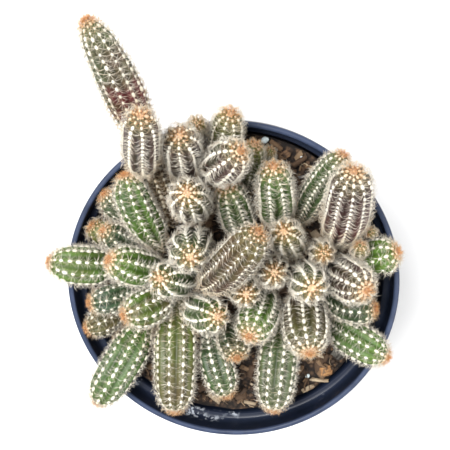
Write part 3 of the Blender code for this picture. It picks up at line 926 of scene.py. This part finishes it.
def litter_piece(soil, name, shape, count, sizes, shades, seed, lie):
    """Many small bits of one kind, scattered over the soil."""
    rng = np.random.default_rng(seed)
    spread = (SOIL_RADIUS - 1.6) * np.sqrt(rng.random(count)) ** 0.75
    angle = math.tau * rng.random(count)
    x, y = spread * np.cos(angle), spread * np.sin(angle)
    low, high = sizes
    size = low + (high - low) * rng.random(count) ** 1.8
    heading = math.tau * rng.random(count)
    tip_up = lie * rng.standard_normal(count)
    roll = 2.0 * lie * rng.standard_normal(count)
    level = np.array([soil_level(a, b, soil) / MM for a, b in zip(x, y)])
    rise = 0.10 * size + np.abs(np.sin(tip_up)) * size * 0.35 + 0.25 * rng.random(count)
    places = np.stack([x, y, level + rise], axis=-1)
    axes = np.empty((count, 3, 3))
    for number in range(count):
        turn = Matrix.Rotation(heading[number], 3, "Z") @ Matrix.Rotation(tip_up[number], 3, "Y")
        axes[number] = np.array(turn @ Matrix.Rotation(roll[number], 3, "X"))
    stretch = np.stack([np.ones(count), 0.6 + 0.8 * rng.random(count), np.ones(count)], axis=-1)
    axes = axes * stretch[:, None, :] * size[:, None, None]
    shade = shades[0] + (shades[1] - shades[0]) * rng.random(count) ** 1.3

    def layout(loops):
        """Across by shade, up along the grain."""
        points = shape[0][loops]
        across = shade[:, None] * 0.94 + 0.03 + 0.02 * (points[None, :, 1] + points[None, :, 2])
        up = np.broadcast_to(0.5 + 0.8 * points[:, 0], across.shape)
        return np.clip(np.stack([across, up], axis=-1), 0.002, 0.998)

    return copies(name, shape, places * MM, axes * MM, layout)


def worn_block(offset, cuts):
    """Rounds the edges of a block that is being edited, and splits its faces finely."""
    bpy.ops.mesh.bevel(offset=offset, segments=2)
    bpy.ops.mesh.select_all(action="SELECT")
    bpy.ops.mesh.subdivide(number_cuts=cuts)
    edited()


def loose_bit(name):
    """A bead, chip or twig, at its place on the soil."""
    size, turn, kind = LOOSE_BITS[name]
    low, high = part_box(name)
    middle = (low + high) / 2
    nothing_selected()
    if kind == "bead":
        bpy.ops.mesh.primitive_ico_sphere_add(subdivisions=4, radius=0.5)
        piece = started(name + "_detail")
        roughened(piece, 2.6, 0.10, len(name))
        roughened(piece, 9.0, 0.035, len(name) + 2)
    elif kind == "twig":
        bpy.ops.mesh.primitive_cylinder_add(vertices=14, radius=0.46, depth=0.96)
        piece = started(name + "_detail")
        editing(piece)
        bpy.ops.transform.rotate(value=math.pi / 2, orient_axis="Y", center_override=(0, 0, 0))
        worn_block(0.05, 5)
        roughened(piece, 4.5, 0.13, len(name))
    else:
        bpy.ops.mesh.primitive_cube_add(size=0.94)
        piece = started(name + "_detail")
        editing(piece)
        worn_block(0.13, 6)
        roughened(piece, 2.2, 0.22, len(name))
        roughened(piece, 7.0, 0.05, len(name) + 5)
    points = points_of(piece.data)
    points *= np.array(size) * MM / np.ptp(points, axis=0)
    bend = 0.10 * (points[:, 0] / (size[0] * MM)) ** 2 * size[0] * MM
    points[:, 1] += bend if kind != "bead" else 0.0
    set_points(piece.data, points)
    piece.rotation_euler = (0.0, 0.0, math.radians(turn))
    piece.location = (middle.x, middle.y, middle.z - BIT_SINK)
    placed_in_mesh(piece)
    smoothed(piece, 50)
    return piece


# ---------------------------------------------------------------- pot


def pot_shell():
    """The pot: an outline drawn out ring by ring, with its drain holes cut."""
    pot = turned_piece("nursery_pot", POT_OUTLINE, POT_SIDES)
    cutters = []
    for number in range(DRAIN_COUNT):
        turn = math.tau * (number + 0.5) / DRAIN_COUNT
        place = (DRAIN_CIRCLE * MM * math.cos(turn), DRAIN_CIRCLE * MM * math.sin(turn), 2 * MM)
        nothing_selected()
        bpy.ops.mesh.primitive_cylinder_add(
            vertices=40, radius=DRAIN_RADIUS * MM, depth=12 * MM, location=place,
        )
        cutters.append(started(f"drain_{number + 1}"))
    picked(*cutters)
    bpy.ops.object.join()
    cutter = bpy.context.object
    picked(pot)
    bpy.ops.object.modifier_add(type="BOOLEAN")
    cut = pot.modifiers[-1]
    cut.operation = "DIFFERENCE"
    cut.solver = "EXACT"
    cut.object = cutter
    bpy.ops.object.modifier_apply(modifier=cut.name)
    bpy.data.objects.remove(cutter)
    smoothed(pot, 38)
    return pot


# ---------------------------------------------------------------- materials


class Recipe:
    """Places and joins the nodes of one material or group."""

    def __init__(self, tree):
        self.tree = tree

    def node(self, kind, inputs=None, **settings):
        made = self.tree.nodes.new("ShaderNode" + kind)
        for key, value in settings.items():
            setattr(made, key, value)
        for key, value in (inputs or {}).items():
            self.feed(made.inputs[key], value)
        return made

    def feed(self, socket, value):
        if isinstance(value, bpy.types.NodeSocket):
            self.tree.links.new(value, socket)
        elif isinstance(value, tuple) and socket.type == "RGBA":
            socket.default_value = (*value[:3], 1.0)
        else:
            socket.default_value = value

    def sum(self, operation, first, second=0.0, third=0.0):
        made = self.node("Math", operation=operation)
        for socket, value in zip(made.inputs, (first, second, third)):
            self.feed(socket, value)
        return made.outputs[0]

    def times(self, first, second):
        return self.sum("MULTIPLY", first, second)

    def plus(self, first, second):
        return self.sum("ADD", first, second)

    def mixed(self, share, first, second, blend="MIX"):
        made = self.node("Mix", data_type="RGBA", blend_type=blend)
        self.feed(made.inputs[0], share)
        self.feed(made.inputs[6], first)
        self.feed(made.inputs[7], second)
        return made.outputs[2]

    def spread(self, value, low, high, to_low=0.0, to_high=1.0):
        made = self.node("MapRange", {
            "Value": value, "From Min": low, "From Max": high, "To Min": to_low, "To Max": to_high,
        })
        made.interpolation_type = "SMOOTHSTEP"
        return made.outputs[0]

    def ramp(self, value, stops):
        made = self.node("ValToRGB", {"Fac": value})
        ramp = made.color_ramp
        while len(ramp.elements) < len(stops):
            ramp.elements.new(0.5)
        for element, (place, colour) in zip(ramp.elements, stops):
            element.position = place
            element.color = (*colour, 1.0)
        return made.outputs["Color"]

    def noise(self, vector, scale, detail=3.0, rough=0.55):
        made = self.node("TexNoise", {
            "Vector": vector, "Scale": scale, "Detail": detail, "Roughness": rough,
        })
        return made.outputs["Fac"]

    def group(self, tree, inputs):
        made = self.node("Group")
        made.node_tree = tree
        for key, value in inputs.items():
            self.feed(made.inputs[key], value)
        return made.outputs


def own_coordinates(recipe):
    return recipe.node("TexCoord").outputs["Object"]


def new_group(name, inputs, outputs):
    """An empty node group with named sockets: inputs as name, kind and default."""
    tree = bpy.data.node_groups.new(name, "ShaderNodeTree")
    for label, kind, default in inputs:
        socket = tree.interface.new_socket(label, in_out="INPUT", socket_type="NodeSocket" + kind)
        socket.default_value = (*default, 1.0) if kind == "Color" else default
    for label, kind in outputs:
        tree.interface.new_socket(label, in_out="OUTPUT", socket_type="NodeSocket" + kind)
    given = tree.nodes.new("NodeGroupInput").outputs
    result = tree.nodes.new("NodeGroupOutput").inputs
    return Recipe(tree), given, result


def mottle_group():
    """Cloudy and speckled change of a colour, as on anything grown or weathered."""
    if "Mottle" in bpy.data.node_groups:
        return bpy.data.node_groups["Mottle"]
    recipe, given, result = new_group(
        "Mottle",
        (("Colour", "Color", (0.5, 0.5, 0.5)), ("Scale", "Float", 100.0), ("Amount", "Float", 0.3)),
        (("Colour", "Color"), ("Cloud", "Float")),
    )
    place = own_coordinates(recipe)
    cloud = recipe.noise(place, given["Scale"], 4.0, 0.6)
    fine = recipe.noise(place, recipe.times(given["Scale"], 6.0), 2.0)
    both = recipe.plus(recipe.times(cloud, 0.65), recipe.times(fine, 0.35))
    swing = recipe.spread(both, 0.3, 0.7, -1.0, 1.0)
    value = recipe.sum("MULTIPLY_ADD", swing, given["Amount"], 1.0)
    hue = recipe.sum("MULTIPLY_ADD", swing, recipe.times(given["Amount"], 0.04), 0.5)
    shifted = recipe.node("HueSaturation", {"Color": given["Colour"], "Value": value, "Hue": hue})
    recipe.feed(result["Colour"], shifted.outputs[0])
    recipe.feed(result["Cloud"], cloud)
    return recipe.tree


def pores_group():
    """Height of fine pores and pits."""
    if "Pores" in bpy.data.node_groups:
        return bpy.data.node_groups["Pores"]
    recipe, given, result = new_group(
        "Pores",
        (("Scale", "Float", 2000.0), ("Pits", "Float", 0.5)),
        (("Height", "Float"),),
    )
    place = own_coordinates(recipe)
    cells = recipe.node("TexVoronoi", {"Vector": place, "Scale": given["Scale"]})
    pit = recipe.spread(cells.outputs["Distance"], 0.0, 0.45)
    grain = recipe.noise(place, recipe.times(given["Scale"], 0.6), 4.0)
    mixed = recipe.node("Mix", data_type="FLOAT")
    for socket, value in zip((mixed.inputs[0], mixed.inputs[2], mixed.inputs[3]),
                             (given["Pits"], grain, pit)):
        recipe.feed(socket, value)
    recipe.feed(result["Height"], mixed.outputs[0])
    return recipe.tree


def fibre_group():
    """Streaks that run along X, as in split wood, with their height."""
    if "Fibre" in bpy.data.node_groups:
        return bpy.data.node_groups["Fibre"]
    recipe, given, result = new_group(
        "Fibre",
        (("Colour", "Color", (0.3, 0.2, 0.1)), ("Dark", "Color", (0.1, 0.06, 0.03)),
         ("Turn", "Float", 0.0), ("Scale", "Float", 900.0)),
        (("Colour", "Color"), ("Height", "Float")),
    )
    turned = recipe.node(
        "VectorRotate", {"Vector": own_coordinates(recipe), "Angle": given["Turn"]})
    thin = recipe.node("Mapping", {"Vector": turned.outputs[0], "Scale": (0.12, 1.0, 1.0)})
    streak = recipe.noise(thin.outputs[0], given["Scale"], 5.0, 0.62)
    blotch = recipe.noise(turned.outputs[0], recipe.times(given["Scale"], 0.35), 3.0)
    both = recipe.plus(recipe.times(streak, 0.7), recipe.times(blotch, 0.3))
    share = recipe.spread(both, 0.36, 0.62)
    recipe.feed(result["Colour"], recipe.mixed(share, given["Dark"], given["Colour"]))
    recipe.feed(result["Height"], both)
    return recipe.tree


def new_material(name, roughness=0.5, **constants):
    """A material with its shader's plain values set, and a recipe for the rest."""
    material = bpy.data.materials.new(name)
    material.use_nodes = True
    shader = material.node_tree.nodes["Principled BSDF"]
    shader.inputs["Roughness"].default_value = roughness
    for label, value in constants.items():
        shader.inputs[label.replace("_", " ")].default_value = value
    return material, Recipe(material.node_tree), shader.inputs


def bumped(recipe, shader, height, strength, distance):
    bump = recipe.node("Bump", {"Height": height, "Strength": strength, "Distance": distance})
    recipe.feed(shader["Normal"], bump.outputs[0])


# Where changes in the pot's plastic start and end, in metres.
RIM_TOP = (0.0868, 0.0877)
INNER_WALL = (0.05245, 0.05215)
LEDGE_FOOT = (0.0786, 0.0800)
LEDGE_TOP = (0.0838, 0.0812)
FRONT_MARKS = (-0.030, -0.044)


def plastic_material(pot):
    """Blue-black moulded plastic, grey on the rim's top, with dried marks inside it.

    The rim's top is partly real wear, partly painted light from the lamp overhead.
    """
    material, recipe, shader = new_material("pot_plastic", IOR=1.46, Specular_IOR_Level=0.30)
    place = own_coordinates(recipe)
    parts = recipe.node("SeparateXYZ", {"Vector": place}).outputs
    squares = [recipe.times(parts[axis], parts[axis]) for axis in "XY"]
    out = recipe.sum("SQRT", recipe.plus(*squares))
    wander = recipe.noise(place, 60.0, 3.0)
    streaky = recipe.noise(
        recipe.node("Mapping", {"Vector": place, "Scale": (1.0, 1.0, 4.0)}).outputs[0], 190.0, 5.0,
    )
    height = recipe.sum("MULTIPLY_ADD", wander, 0.0012, recipe.sum("SUBTRACT", parts["Z"], 0.0006))
    # The rim's top is painted lighter: partly real wear, partly painted light from the lamp
    # overhead.
    top = recipe.spread(height, *RIM_TOP)
    rubbed_and_lit = recipe.times(top, recipe.spread(streaky, 0.25, 0.6, 0.55, 1.0))
    inside = recipe.spread(out, *INNER_WALL)
    low_band = recipe.times(
        recipe.spread(height, *LEDGE_FOOT), recipe.spread(height, *LEDGE_TOP))
    ledge = recipe.times(low_band, inside)
    front = recipe.spread(parts["Y"], *FRONT_MARKS)
    patch = recipe.times(front, recipe.spread(recipe.noise(place, 75.0, 2.0), 0.54, 0.62))
    marks = recipe.times(ledge, recipe.times(
        patch, recipe.spread(recipe.noise(place, 640.0, 4.0), 0.50, 0.58)))
    base = recipe.group(mottle_group(), {
        "Colour": tuple(pot.plastic), "Scale": 90.0, "Amount": 0.22})["Colour"]
    faded = recipe.mixed(recipe.times(ledge, 0.45), base, (0.022, 0.030, 0.055))
    worn_and_lit = recipe.mixed(rubbed_and_lit, faded, tuple(pot.rim_wear_and_light))
    dust = recipe.spread(recipe.noise(place, 900.0, 2.0), 0.68, 0.80)
    dusty = recipe.mixed(recipe.times(dust, 0.25), worn_and_lit, (0.20, 0.19, 0.18))
    recipe.feed(shader["Base Color"], recipe.mixed(marks, dusty, tuple(pot.residue)))
    rough = recipe.sum("MULTIPLY_ADD", streaky, 0.22, pot.sheen - 0.10)
    rough = recipe.sum("MULTIPLY_ADD", marks, 0.45, recipe.sum("MULTIPLY_ADD", rubbed_and_lit, 0.16, rough))
    recipe.feed(shader["Roughness"], rough)
    grain = recipe.group(pores_group(), {"Scale": 1400.0, "Pits": 0.2})["Height"]
    bumped(recipe, shader, grain, 0.22, 0.00008)
    return material


def soil_material(soil):
    """Peat with crumbs, threads and pale grains, and painted shade between the crumbs."""
    material, recipe, shader = new_material("soil_mix", 0.93)
    place = own_coordinates(recipe)
    crumbs = recipe.node("TexVoronoi", {"Vector": place, "Scale": 620.0, "Randomness": 1.0})
    bits = recipe.noise(place, 480.0, 5.0, 0.65)
    cell = recipe.node("SeparateXYZ", {"Vector": crumbs.outputs["Color"]}).outputs["X"]
    shade = recipe.ramp(cell, (
        (0.0, tuple(soil.dark)), (0.45, (0.058, 0.034, 0.021)),
        (0.75, (0.105, 0.062, 0.036)), (1.0, tuple(soil.pale)),
    ))
    damp = recipe.mixed(recipe.spread(bits, 0.35, 0.62), tuple(soil.dark), shade)
    # The gaps between crumbs are painted nearly black: painted shade in the hollows.
    gap = recipe.spread(crumbs.outputs["Distance"], 0.25, 0.75)
    deep = recipe.mixed(gap, damp, (0.012, 0.008, 0.006))
    grain = recipe.node("TexVoronoi", {"Vector": place, "Scale": 380.0})
    spot = recipe.spread(grain.outputs["Distance"], 0.16, 0.10)
    rare = recipe.spread(recipe.noise(place, 210.0, 1.0), 0.58, 0.64)
    recipe.feed(shader["Base Color"], recipe.mixed(
        recipe.times(spot, rare), deep, (0.42, 0.38, 0.31)))
    height = recipe.plus(bits, recipe.times(crumbs.outputs["Distance"], -0.8))
    bumped(recipe, shader, height, 0.9, 0.0008)
    return material


def litter_material():
    """Chips from black bark through brown to pale dry wood, by each chip's own shade."""
    material, recipe, shader = new_material("soil_litter", 0.86)
    flat = recipe.node("UVMap", uv_map=BAKE_MAP).outputs[0]
    parts = recipe.node("SeparateXYZ", {"Vector": flat}).outputs
    shade = recipe.ramp(parts["X"], (
        (0.0, (0.022, 0.015, 0.011)), (0.22, (0.070, 0.040, 0.022)), (0.42, (0.135, 0.076, 0.040)),
        (0.60, (0.230, 0.135, 0.070)), (0.78, (0.360, 0.245, 0.140)), (1.0, (0.560, 0.470, 0.340)),
    ))
    grain = recipe.node("TexWave", {
        "Vector": flat, "Scale": 9.0, "Distortion": 6.0, "Detail": 2.0}, bands_direction="Y")
    recipe.feed(shader["Base Color"], recipe.mixed(
        recipe.spread(grain.outputs["Fac"], 0.15, 0.75, 0.75, 0.0), shade, (0.045, 0.028, 0.018)))
    fibre = recipe.noise(own_coordinates(recipe), 1800.0, 3.0)
    bumped(recipe, shader, fibre, 0.5, 0.0003)
    return material


def wood_material(name, pale, dark, turn):
    material, recipe, shader = new_material(name, 0.86)
    fibre = recipe.group(fibre_group(), {
        "Colour": pale, "Dark": dark, "Turn": math.radians(turn), "Scale": 1300.0})
    recipe.feed(shader["Base Color"], recipe.group(mottle_group(), {
        "Colour": fibre["Colour"], "Scale": 500.0, "Amount": 0.25})["Colour"])
    bumped(recipe, shader, fibre["Height"], 0.7, 0.0003)
    return material


def perlite_material():
    """White foamed stone, pitted, with painted shade in the pits, and damp spots."""
    material, recipe, shader = new_material("perlite", 0.82, Subsurface_Weight=0.08)
    pits = recipe.group(pores_group(), {"Scale": 1900.0, "Pits": 0.8})["Height"]
    # The pits are painted dark grey: painted shade in the pits.
    shade = recipe.mixed(recipe.spread(pits, 0.05, 0.4), (0.40, 0.44, 0.42), (0.78, 0.86, 0.86))
    recipe.feed(shader["Base Color"], recipe.group(mottle_group(), {
        "Colour": shade, "Scale": 400.0, "Amount": 0.15})["Colour"])
    bumped(recipe, shader, pits, 0.8, 0.0002)
    return material


SCAR = (0.24, 0.15, 0.075)


def skin_material(name):
    """Fleshy skin by its own painted colours: darker grooves as painted shade, waxy bloom,
    pores and scars.
    """
    material, recipe, shader = new_material(
        name, 0.5, Subsurface_Weight=0.06, Subsurface_Scale=0.0012, Specular_IOR_Level=0.42)
    painted = recipe.node("Attribute", attribute_name="skin").outputs["Color"]
    crest = recipe.node("Attribute", attribute_name="crest").outputs["Fac"]
    place = own_coordinates(recipe)
    mottled = recipe.group(mottle_group(), {"Colour": painted, "Scale": 330.0, "Amount": 0.26})
    # The grooves between ribs are painted darker: painted shade in the grooves.
    groove_shade = recipe.spread(crest, 0.05, 0.65, 0.62, 0.0)
    deep = recipe.mixed(groove_shade, mottled["Colour"], recipe.mixed(
        1.0, mottled["Colour"], (0.32, 0.36, 0.30), "MULTIPLY"))
    bloom = recipe.spread(recipe.noise(place, 700.0, 4.0), 0.50, 0.72, 0.0, 0.12)
    waxy = recipe.mixed(bloom, deep, (0.30, 0.34, 0.24))
    corky = recipe.spread(recipe.noise(place, 150.0, 3.0), 0.70, 0.78, 0.0, 0.65)
    recipe.feed(shader["Base Color"], recipe.mixed(corky, waxy, SCAR))
    rough = recipe.sum("MULTIPLY_ADD", mottled["Cloud"], 0.22, 0.38)
    recipe.feed(shader["Roughness"], rough)
    pores = recipe.group(pores_group(), {"Scale": 2600.0, "Pits": 0.45})["Height"]
    bumped(recipe, shader, pores, 0.35, 0.00012)
    return material


def coat_material():
    """Spines by tone, cream through tan to rust, and woolly pads by shade.

    Spine roots and pad undersides are painted darker as painted shade near the skin.
    """
    material, recipe, shader = new_material(
        "spine_coat", 0.5, Subsurface_Weight=0.0, Sheen_Weight=0.25, Sheen_Roughness=0.4)
    flat = recipe.node("UVMap", uv_map=BAKE_MAP).outputs[0]
    parts = recipe.node("SeparateXYZ", {"Vector": flat}).outputs
    # Root colours are darker than tip colours: painted shade down among the spines, near the skin.
    root = recipe.ramp(parts["X"], (
        (0.0, (0.80, 0.77, 0.68)), (0.25, (0.66, 0.57, 0.42)), (0.50, (0.66, 0.42, 0.20)),
        (0.76, (0.55, 0.21, 0.05)), (1.0, (0.20, 0.045, 0.010)),
    ))
    tip = recipe.ramp(parts["X"], (
        (0.0, (0.86, 0.82, 0.73)), (0.25, (0.70, 0.55, 0.38)), (0.50, (0.74, 0.47, 0.23)),
        (0.76, (0.80, 0.36, 0.10)), (1.0, (0.40, 0.12, 0.025)),
    ))
    spine = recipe.mixed(recipe.spread(parts["Y"], 0.15, 0.62), root, tip)
    wool = recipe.ramp(parts["X"], (
        (0.0, (0.95, 0.93, 0.86)), (0.35, (0.84, 0.76, 0.60)), (0.65, (0.80, 0.56, 0.32)),
        (1.0, (0.62, 0.27, 0.09)),
    ))
    # The underside of each pad, towards the skin, is painted darker: painted shade under the pad.
    shaded = recipe.mixed(recipe.spread(parts["Y"], 0.80, 0.98), recipe.mixed(
        1.0, wool, (0.70, 0.68, 0.62), "MULTIPLY"), wool)
    is_wool = recipe.sum("GREATER_THAN", parts["Y"], 0.71)
    recipe.feed(shader["Base Color"], recipe.mixed(is_wool, spine, shaded))
    recipe.feed(shader["Roughness"], recipe.sum("MULTIPLY_ADD", is_wool, 0.45, 0.42))
    fluff = recipe.noise(own_coordinates(recipe), 5200.0, 3.0, 0.7)
    bumped(recipe, shader, fluff, 0.5, 0.0001)
    return material


def floor_material(stage):
    material, recipe, shader = new_material("studio_floor", 0.85)
    recipe.feed(shader["Base Color"], recipe.group(mottle_group(), {
        "Colour": tuple(stage.floor), "Scale": 6.0, "Amount": 0.01})["Colour"])
    return material


WOODS = {
    "pale_wood": ((0.50, 0.40, 0.27), (0.20, 0.13, 0.075)),
    "bark": ((0.21, 0.12, 0.062), (0.060, 0.034, 0.020)),
    "grey_twig": ((0.27, 0.25, 0.23), (0.085, 0.075, 0.065)),
    "orange_bark": ((0.42, 0.22, 0.085), (0.14, 0.062, 0.026)),
    "dark_bark": ((0.095, 0.088, 0.075), (0.028, 0.024, 0.020)),
}


# ---------------------------------------------------------------- operators


# Lamps: name, place in metres, side in metres, and power as a share of the key light's.
LAMPS = (
    ("key", (-0.20, 0.26, 0.78), 0.36, 1.0),
    ("fill", (0.50, -0.38, 0.66), 0.60, 0.50),
)
PLANTS = (0.0, 0.0, 0.09)
CAMERA_PLACE = (0.014552, 0.101142, 0.370765)
CAMERA_BACK = (0.05696, 0.27363, 0.96015)      # from what it looks at, back to the camera
CAMERA_LENS = 73.98
CAMERA_SENSOR = 36.0
FLOOR_SIDE = 6.0


def slot_of(node):
    """The record's material slot of a CAD node."""
    for part in frame["record"]["subparts"]:
        if part["node"] == node:
            return part["material_slot"]
    raise RuntimeError(f"the record has no part named {node}")


class CACTUS_OT_pot(bpy.types.Operator):
    """Makes the thin nursery pot with its rim band and drain holes"""

    bl_idname = "cactus.pot"
    bl_label = "Nursery Pot"

    def execute(self, context):
        material = plastic_material(context.scene.cactus_pot)
        finished(pot_shell(), material, ("pot",))
        return {"FINISHED"}


class CACTUS_OT_soil(bpy.types.Operator):
    """Makes the soil that fills the pot"""

    bl_idname = "cactus.soil"
    bl_label = "Soil"

    def execute(self, context):
        soil = context.scene.cactus_soil
        finished(soil_plug(soil), soil_material(soil), ("soil",))
        return {"FINISHED"}


class CACTUS_OT_litter(bpy.types.Operator):
    """Scatters chips, slivers, threads and crumbs over the soil"""

    bl_idname = "cactus.litter"
    bl_label = "Chips and Crumbs"

    def execute(self, context):
        soil = context.scene.cactus_soil
        material = litter_material()
        shapes = (chip_shape(), thread_shape(), crumb_shape())
        for shape, (name, share, *kind) in zip(shapes, LITTER):
            count = int(soil.litter * share)
            finished(litter_piece(soil, name, shape, count, *kind), material)
        return {"FINISHED"}


class CACTUS_OT_bits(bpy.types.Operator):
    """Makes the larger loose bits: perlite, bark, slivers and twigs"""

    bl_idname = "cactus.bits"
    bl_label = "Loose Bits"

    def execute(self, context):
        for name in LOOSE_BITS:
            slot = slot_of(name)
            if slot == "perlite":
                material = bpy.data.materials.get("perlite_grain") or perlite_material()
                material.name = "perlite_grain"
            else:
                pale, dark = WOODS[slot]
                material = wood_material(name + "_wood", pale, dark, -LOOSE_BITS[name][1])
            finished(loose_bit(name), material, (name,))
        return {"FINISHED"}


class CACTUS_OT_skins(bpy.types.Operator):
    """Makes the ribbed skin of every stem"""

    bl_idname = "cactus.skins"
    bl_label = "Stem Skins"

    def execute(self, context):
        stems, spines = context.scene.cactus_stems, context.scene.cactus_spines
        materials = {}
        for name in LOOKS:
            slot = slot_of(name)
            if slot not in materials:
                materials[slot] = skin_material(slot + "_flesh")
            finished(stem_skin(name, stems, spines.spacing), materials[slot], (name,))
        return {"FINISHED"}


class CACTUS_OT_coats(bpy.types.Operator):
    """Makes the woolly pads and spines of every stem"""

    bl_idname = "cactus.coats"
    bl_label = "Pads and Spines"

    def execute(self, context):
        stems, spines = context.scene.cactus_stems, context.scene.cactus_spines
        material = coat_material()
        shapes = (spine_shape(), pad_shape())
        for name in LOOKS:
            finished(stem_coat(name, stems, spines, shapes), material)
        return {"FINISHED"}


class CACTUS_OT_stage(bpy.types.Operator):
    """Makes the pale floor, the soft lights and the camera"""

    bl_idname = "cactus.stage"
    bl_label = "Stage"

    def execute(self, context):
        stage = context.scene.cactus_stage
        nothing_selected()
        bpy.ops.mesh.primitive_plane_add(size=FLOOR_SIDE)
        floor = started("studio_floor")
        floor.data.materials.append(floor_material(stage))
        scene = context.scene
        world = bpy.data.worlds.new("soft_light")
        world.use_nodes = True
        sky = world.node_tree.nodes["Background"].inputs
        sky["Color"].default_value = (1.0, 1.0, 1.0, 1.0)
        sky["Strength"].default_value = stage.sky
        scene.world = world
        for name, place, size, share in LAMPS:
            lamp(name, place, size, stage.key * share)
        add_camera(scene)
        scene.view_settings.view_transform = "Standard"
        scene.view_settings.look = "None"
        return {"FINISHED"}


def lamp(name, place, size, power):
    """A large square lamp that faces the plants."""
    nothing_selected()
    bpy.ops.object.light_add(type="AREA", location=place)
    light = bpy.context.object
    light.name = name
    light.data.size = size
    light.data.energy = power
    aim = Vector(PLANTS) - Vector(place)
    light.rotation_euler = aim.to_track_quat("-Z", "Y").to_euler()


def add_camera(scene):
    """A camera nearly overhead, behind the pot's middle, that looks a little towards its front."""
    bpy.ops.object.camera_add(location=CAMERA_PLACE)
    camera = bpy.context.object
    camera.name = "camera"
    back = Vector(CAMERA_BACK).normalized()
    up = (Vector((0, 1, 0)) - back * back.y).normalized()
    right = up.cross(back)
    camera.rotation_euler = Matrix((right, up, back)).transposed().to_euler()
    camera.data.sensor_width = CAMERA_SENSOR
    camera.data.lens = CAMERA_LENS
    camera.data.clip_start = 10 * MM
    scene.camera = camera


class CACTUS_PT_panel(bpy.types.Panel):
    """Lists the steps that build the potted cactus"""

    bl_idname = "CACTUS_PT_panel"
    bl_label = "Potted Cactus"
    bl_space_type = "VIEW_3D"
    bl_region_type = "UI"
    bl_category = "Cactus"

    def draw(self, context):
        for made in OPERATORS:
            self.layout.operator(made.bl_idname)
        for group in GROUPS:
            box = self.layout.box()
            settings = getattr(context.scene, group)
            for prop in settings.bl_rna.properties:
                if prop.identifier not in ("rna_type", "name"):
                    box.prop(settings, prop.identifier)


GROUPS = {
    "cactus_pot": PotSettings, "cactus_soil": SoilSettings, "cactus_stems": StemSettings,
    "cactus_spines": SpineSettings, "cactus_stage": StageSettings,
}
OPERATORS = (
    CACTUS_OT_pot, CACTUS_OT_soil, CACTUS_OT_litter, CACTUS_OT_bits, CACTUS_OT_skins,
    CACTUS_OT_coats, CACTUS_OT_stage,
)


def register():
    for made in (*GROUPS.values(), *OPERATORS, CACTUS_PT_panel):
        bpy.utils.register_class(made)
    for name, group in GROUPS.items():
        setattr(bpy.types.Scene, name, PointerProperty(type=group))


def unregister():
    for name in GROUPS:
        delattr(bpy.types.Scene, name)
    for made in (CACTUS_PT_panel, *reversed(OPERATORS), *GROUPS.values()):
        bpy.utils.unregister_class(made)


def main():
    register()
    bpy.ops.cactus.pot()
    bpy.ops.cactus.soil()
    bpy.ops.cactus.litter()
    bpy.ops.cactus.bits()
    bpy.ops.cactus.skins()
    bpy.ops.cactus.coats()
    bpy.ops.cactus.stage()


if __name__ == "__main__":
    main()
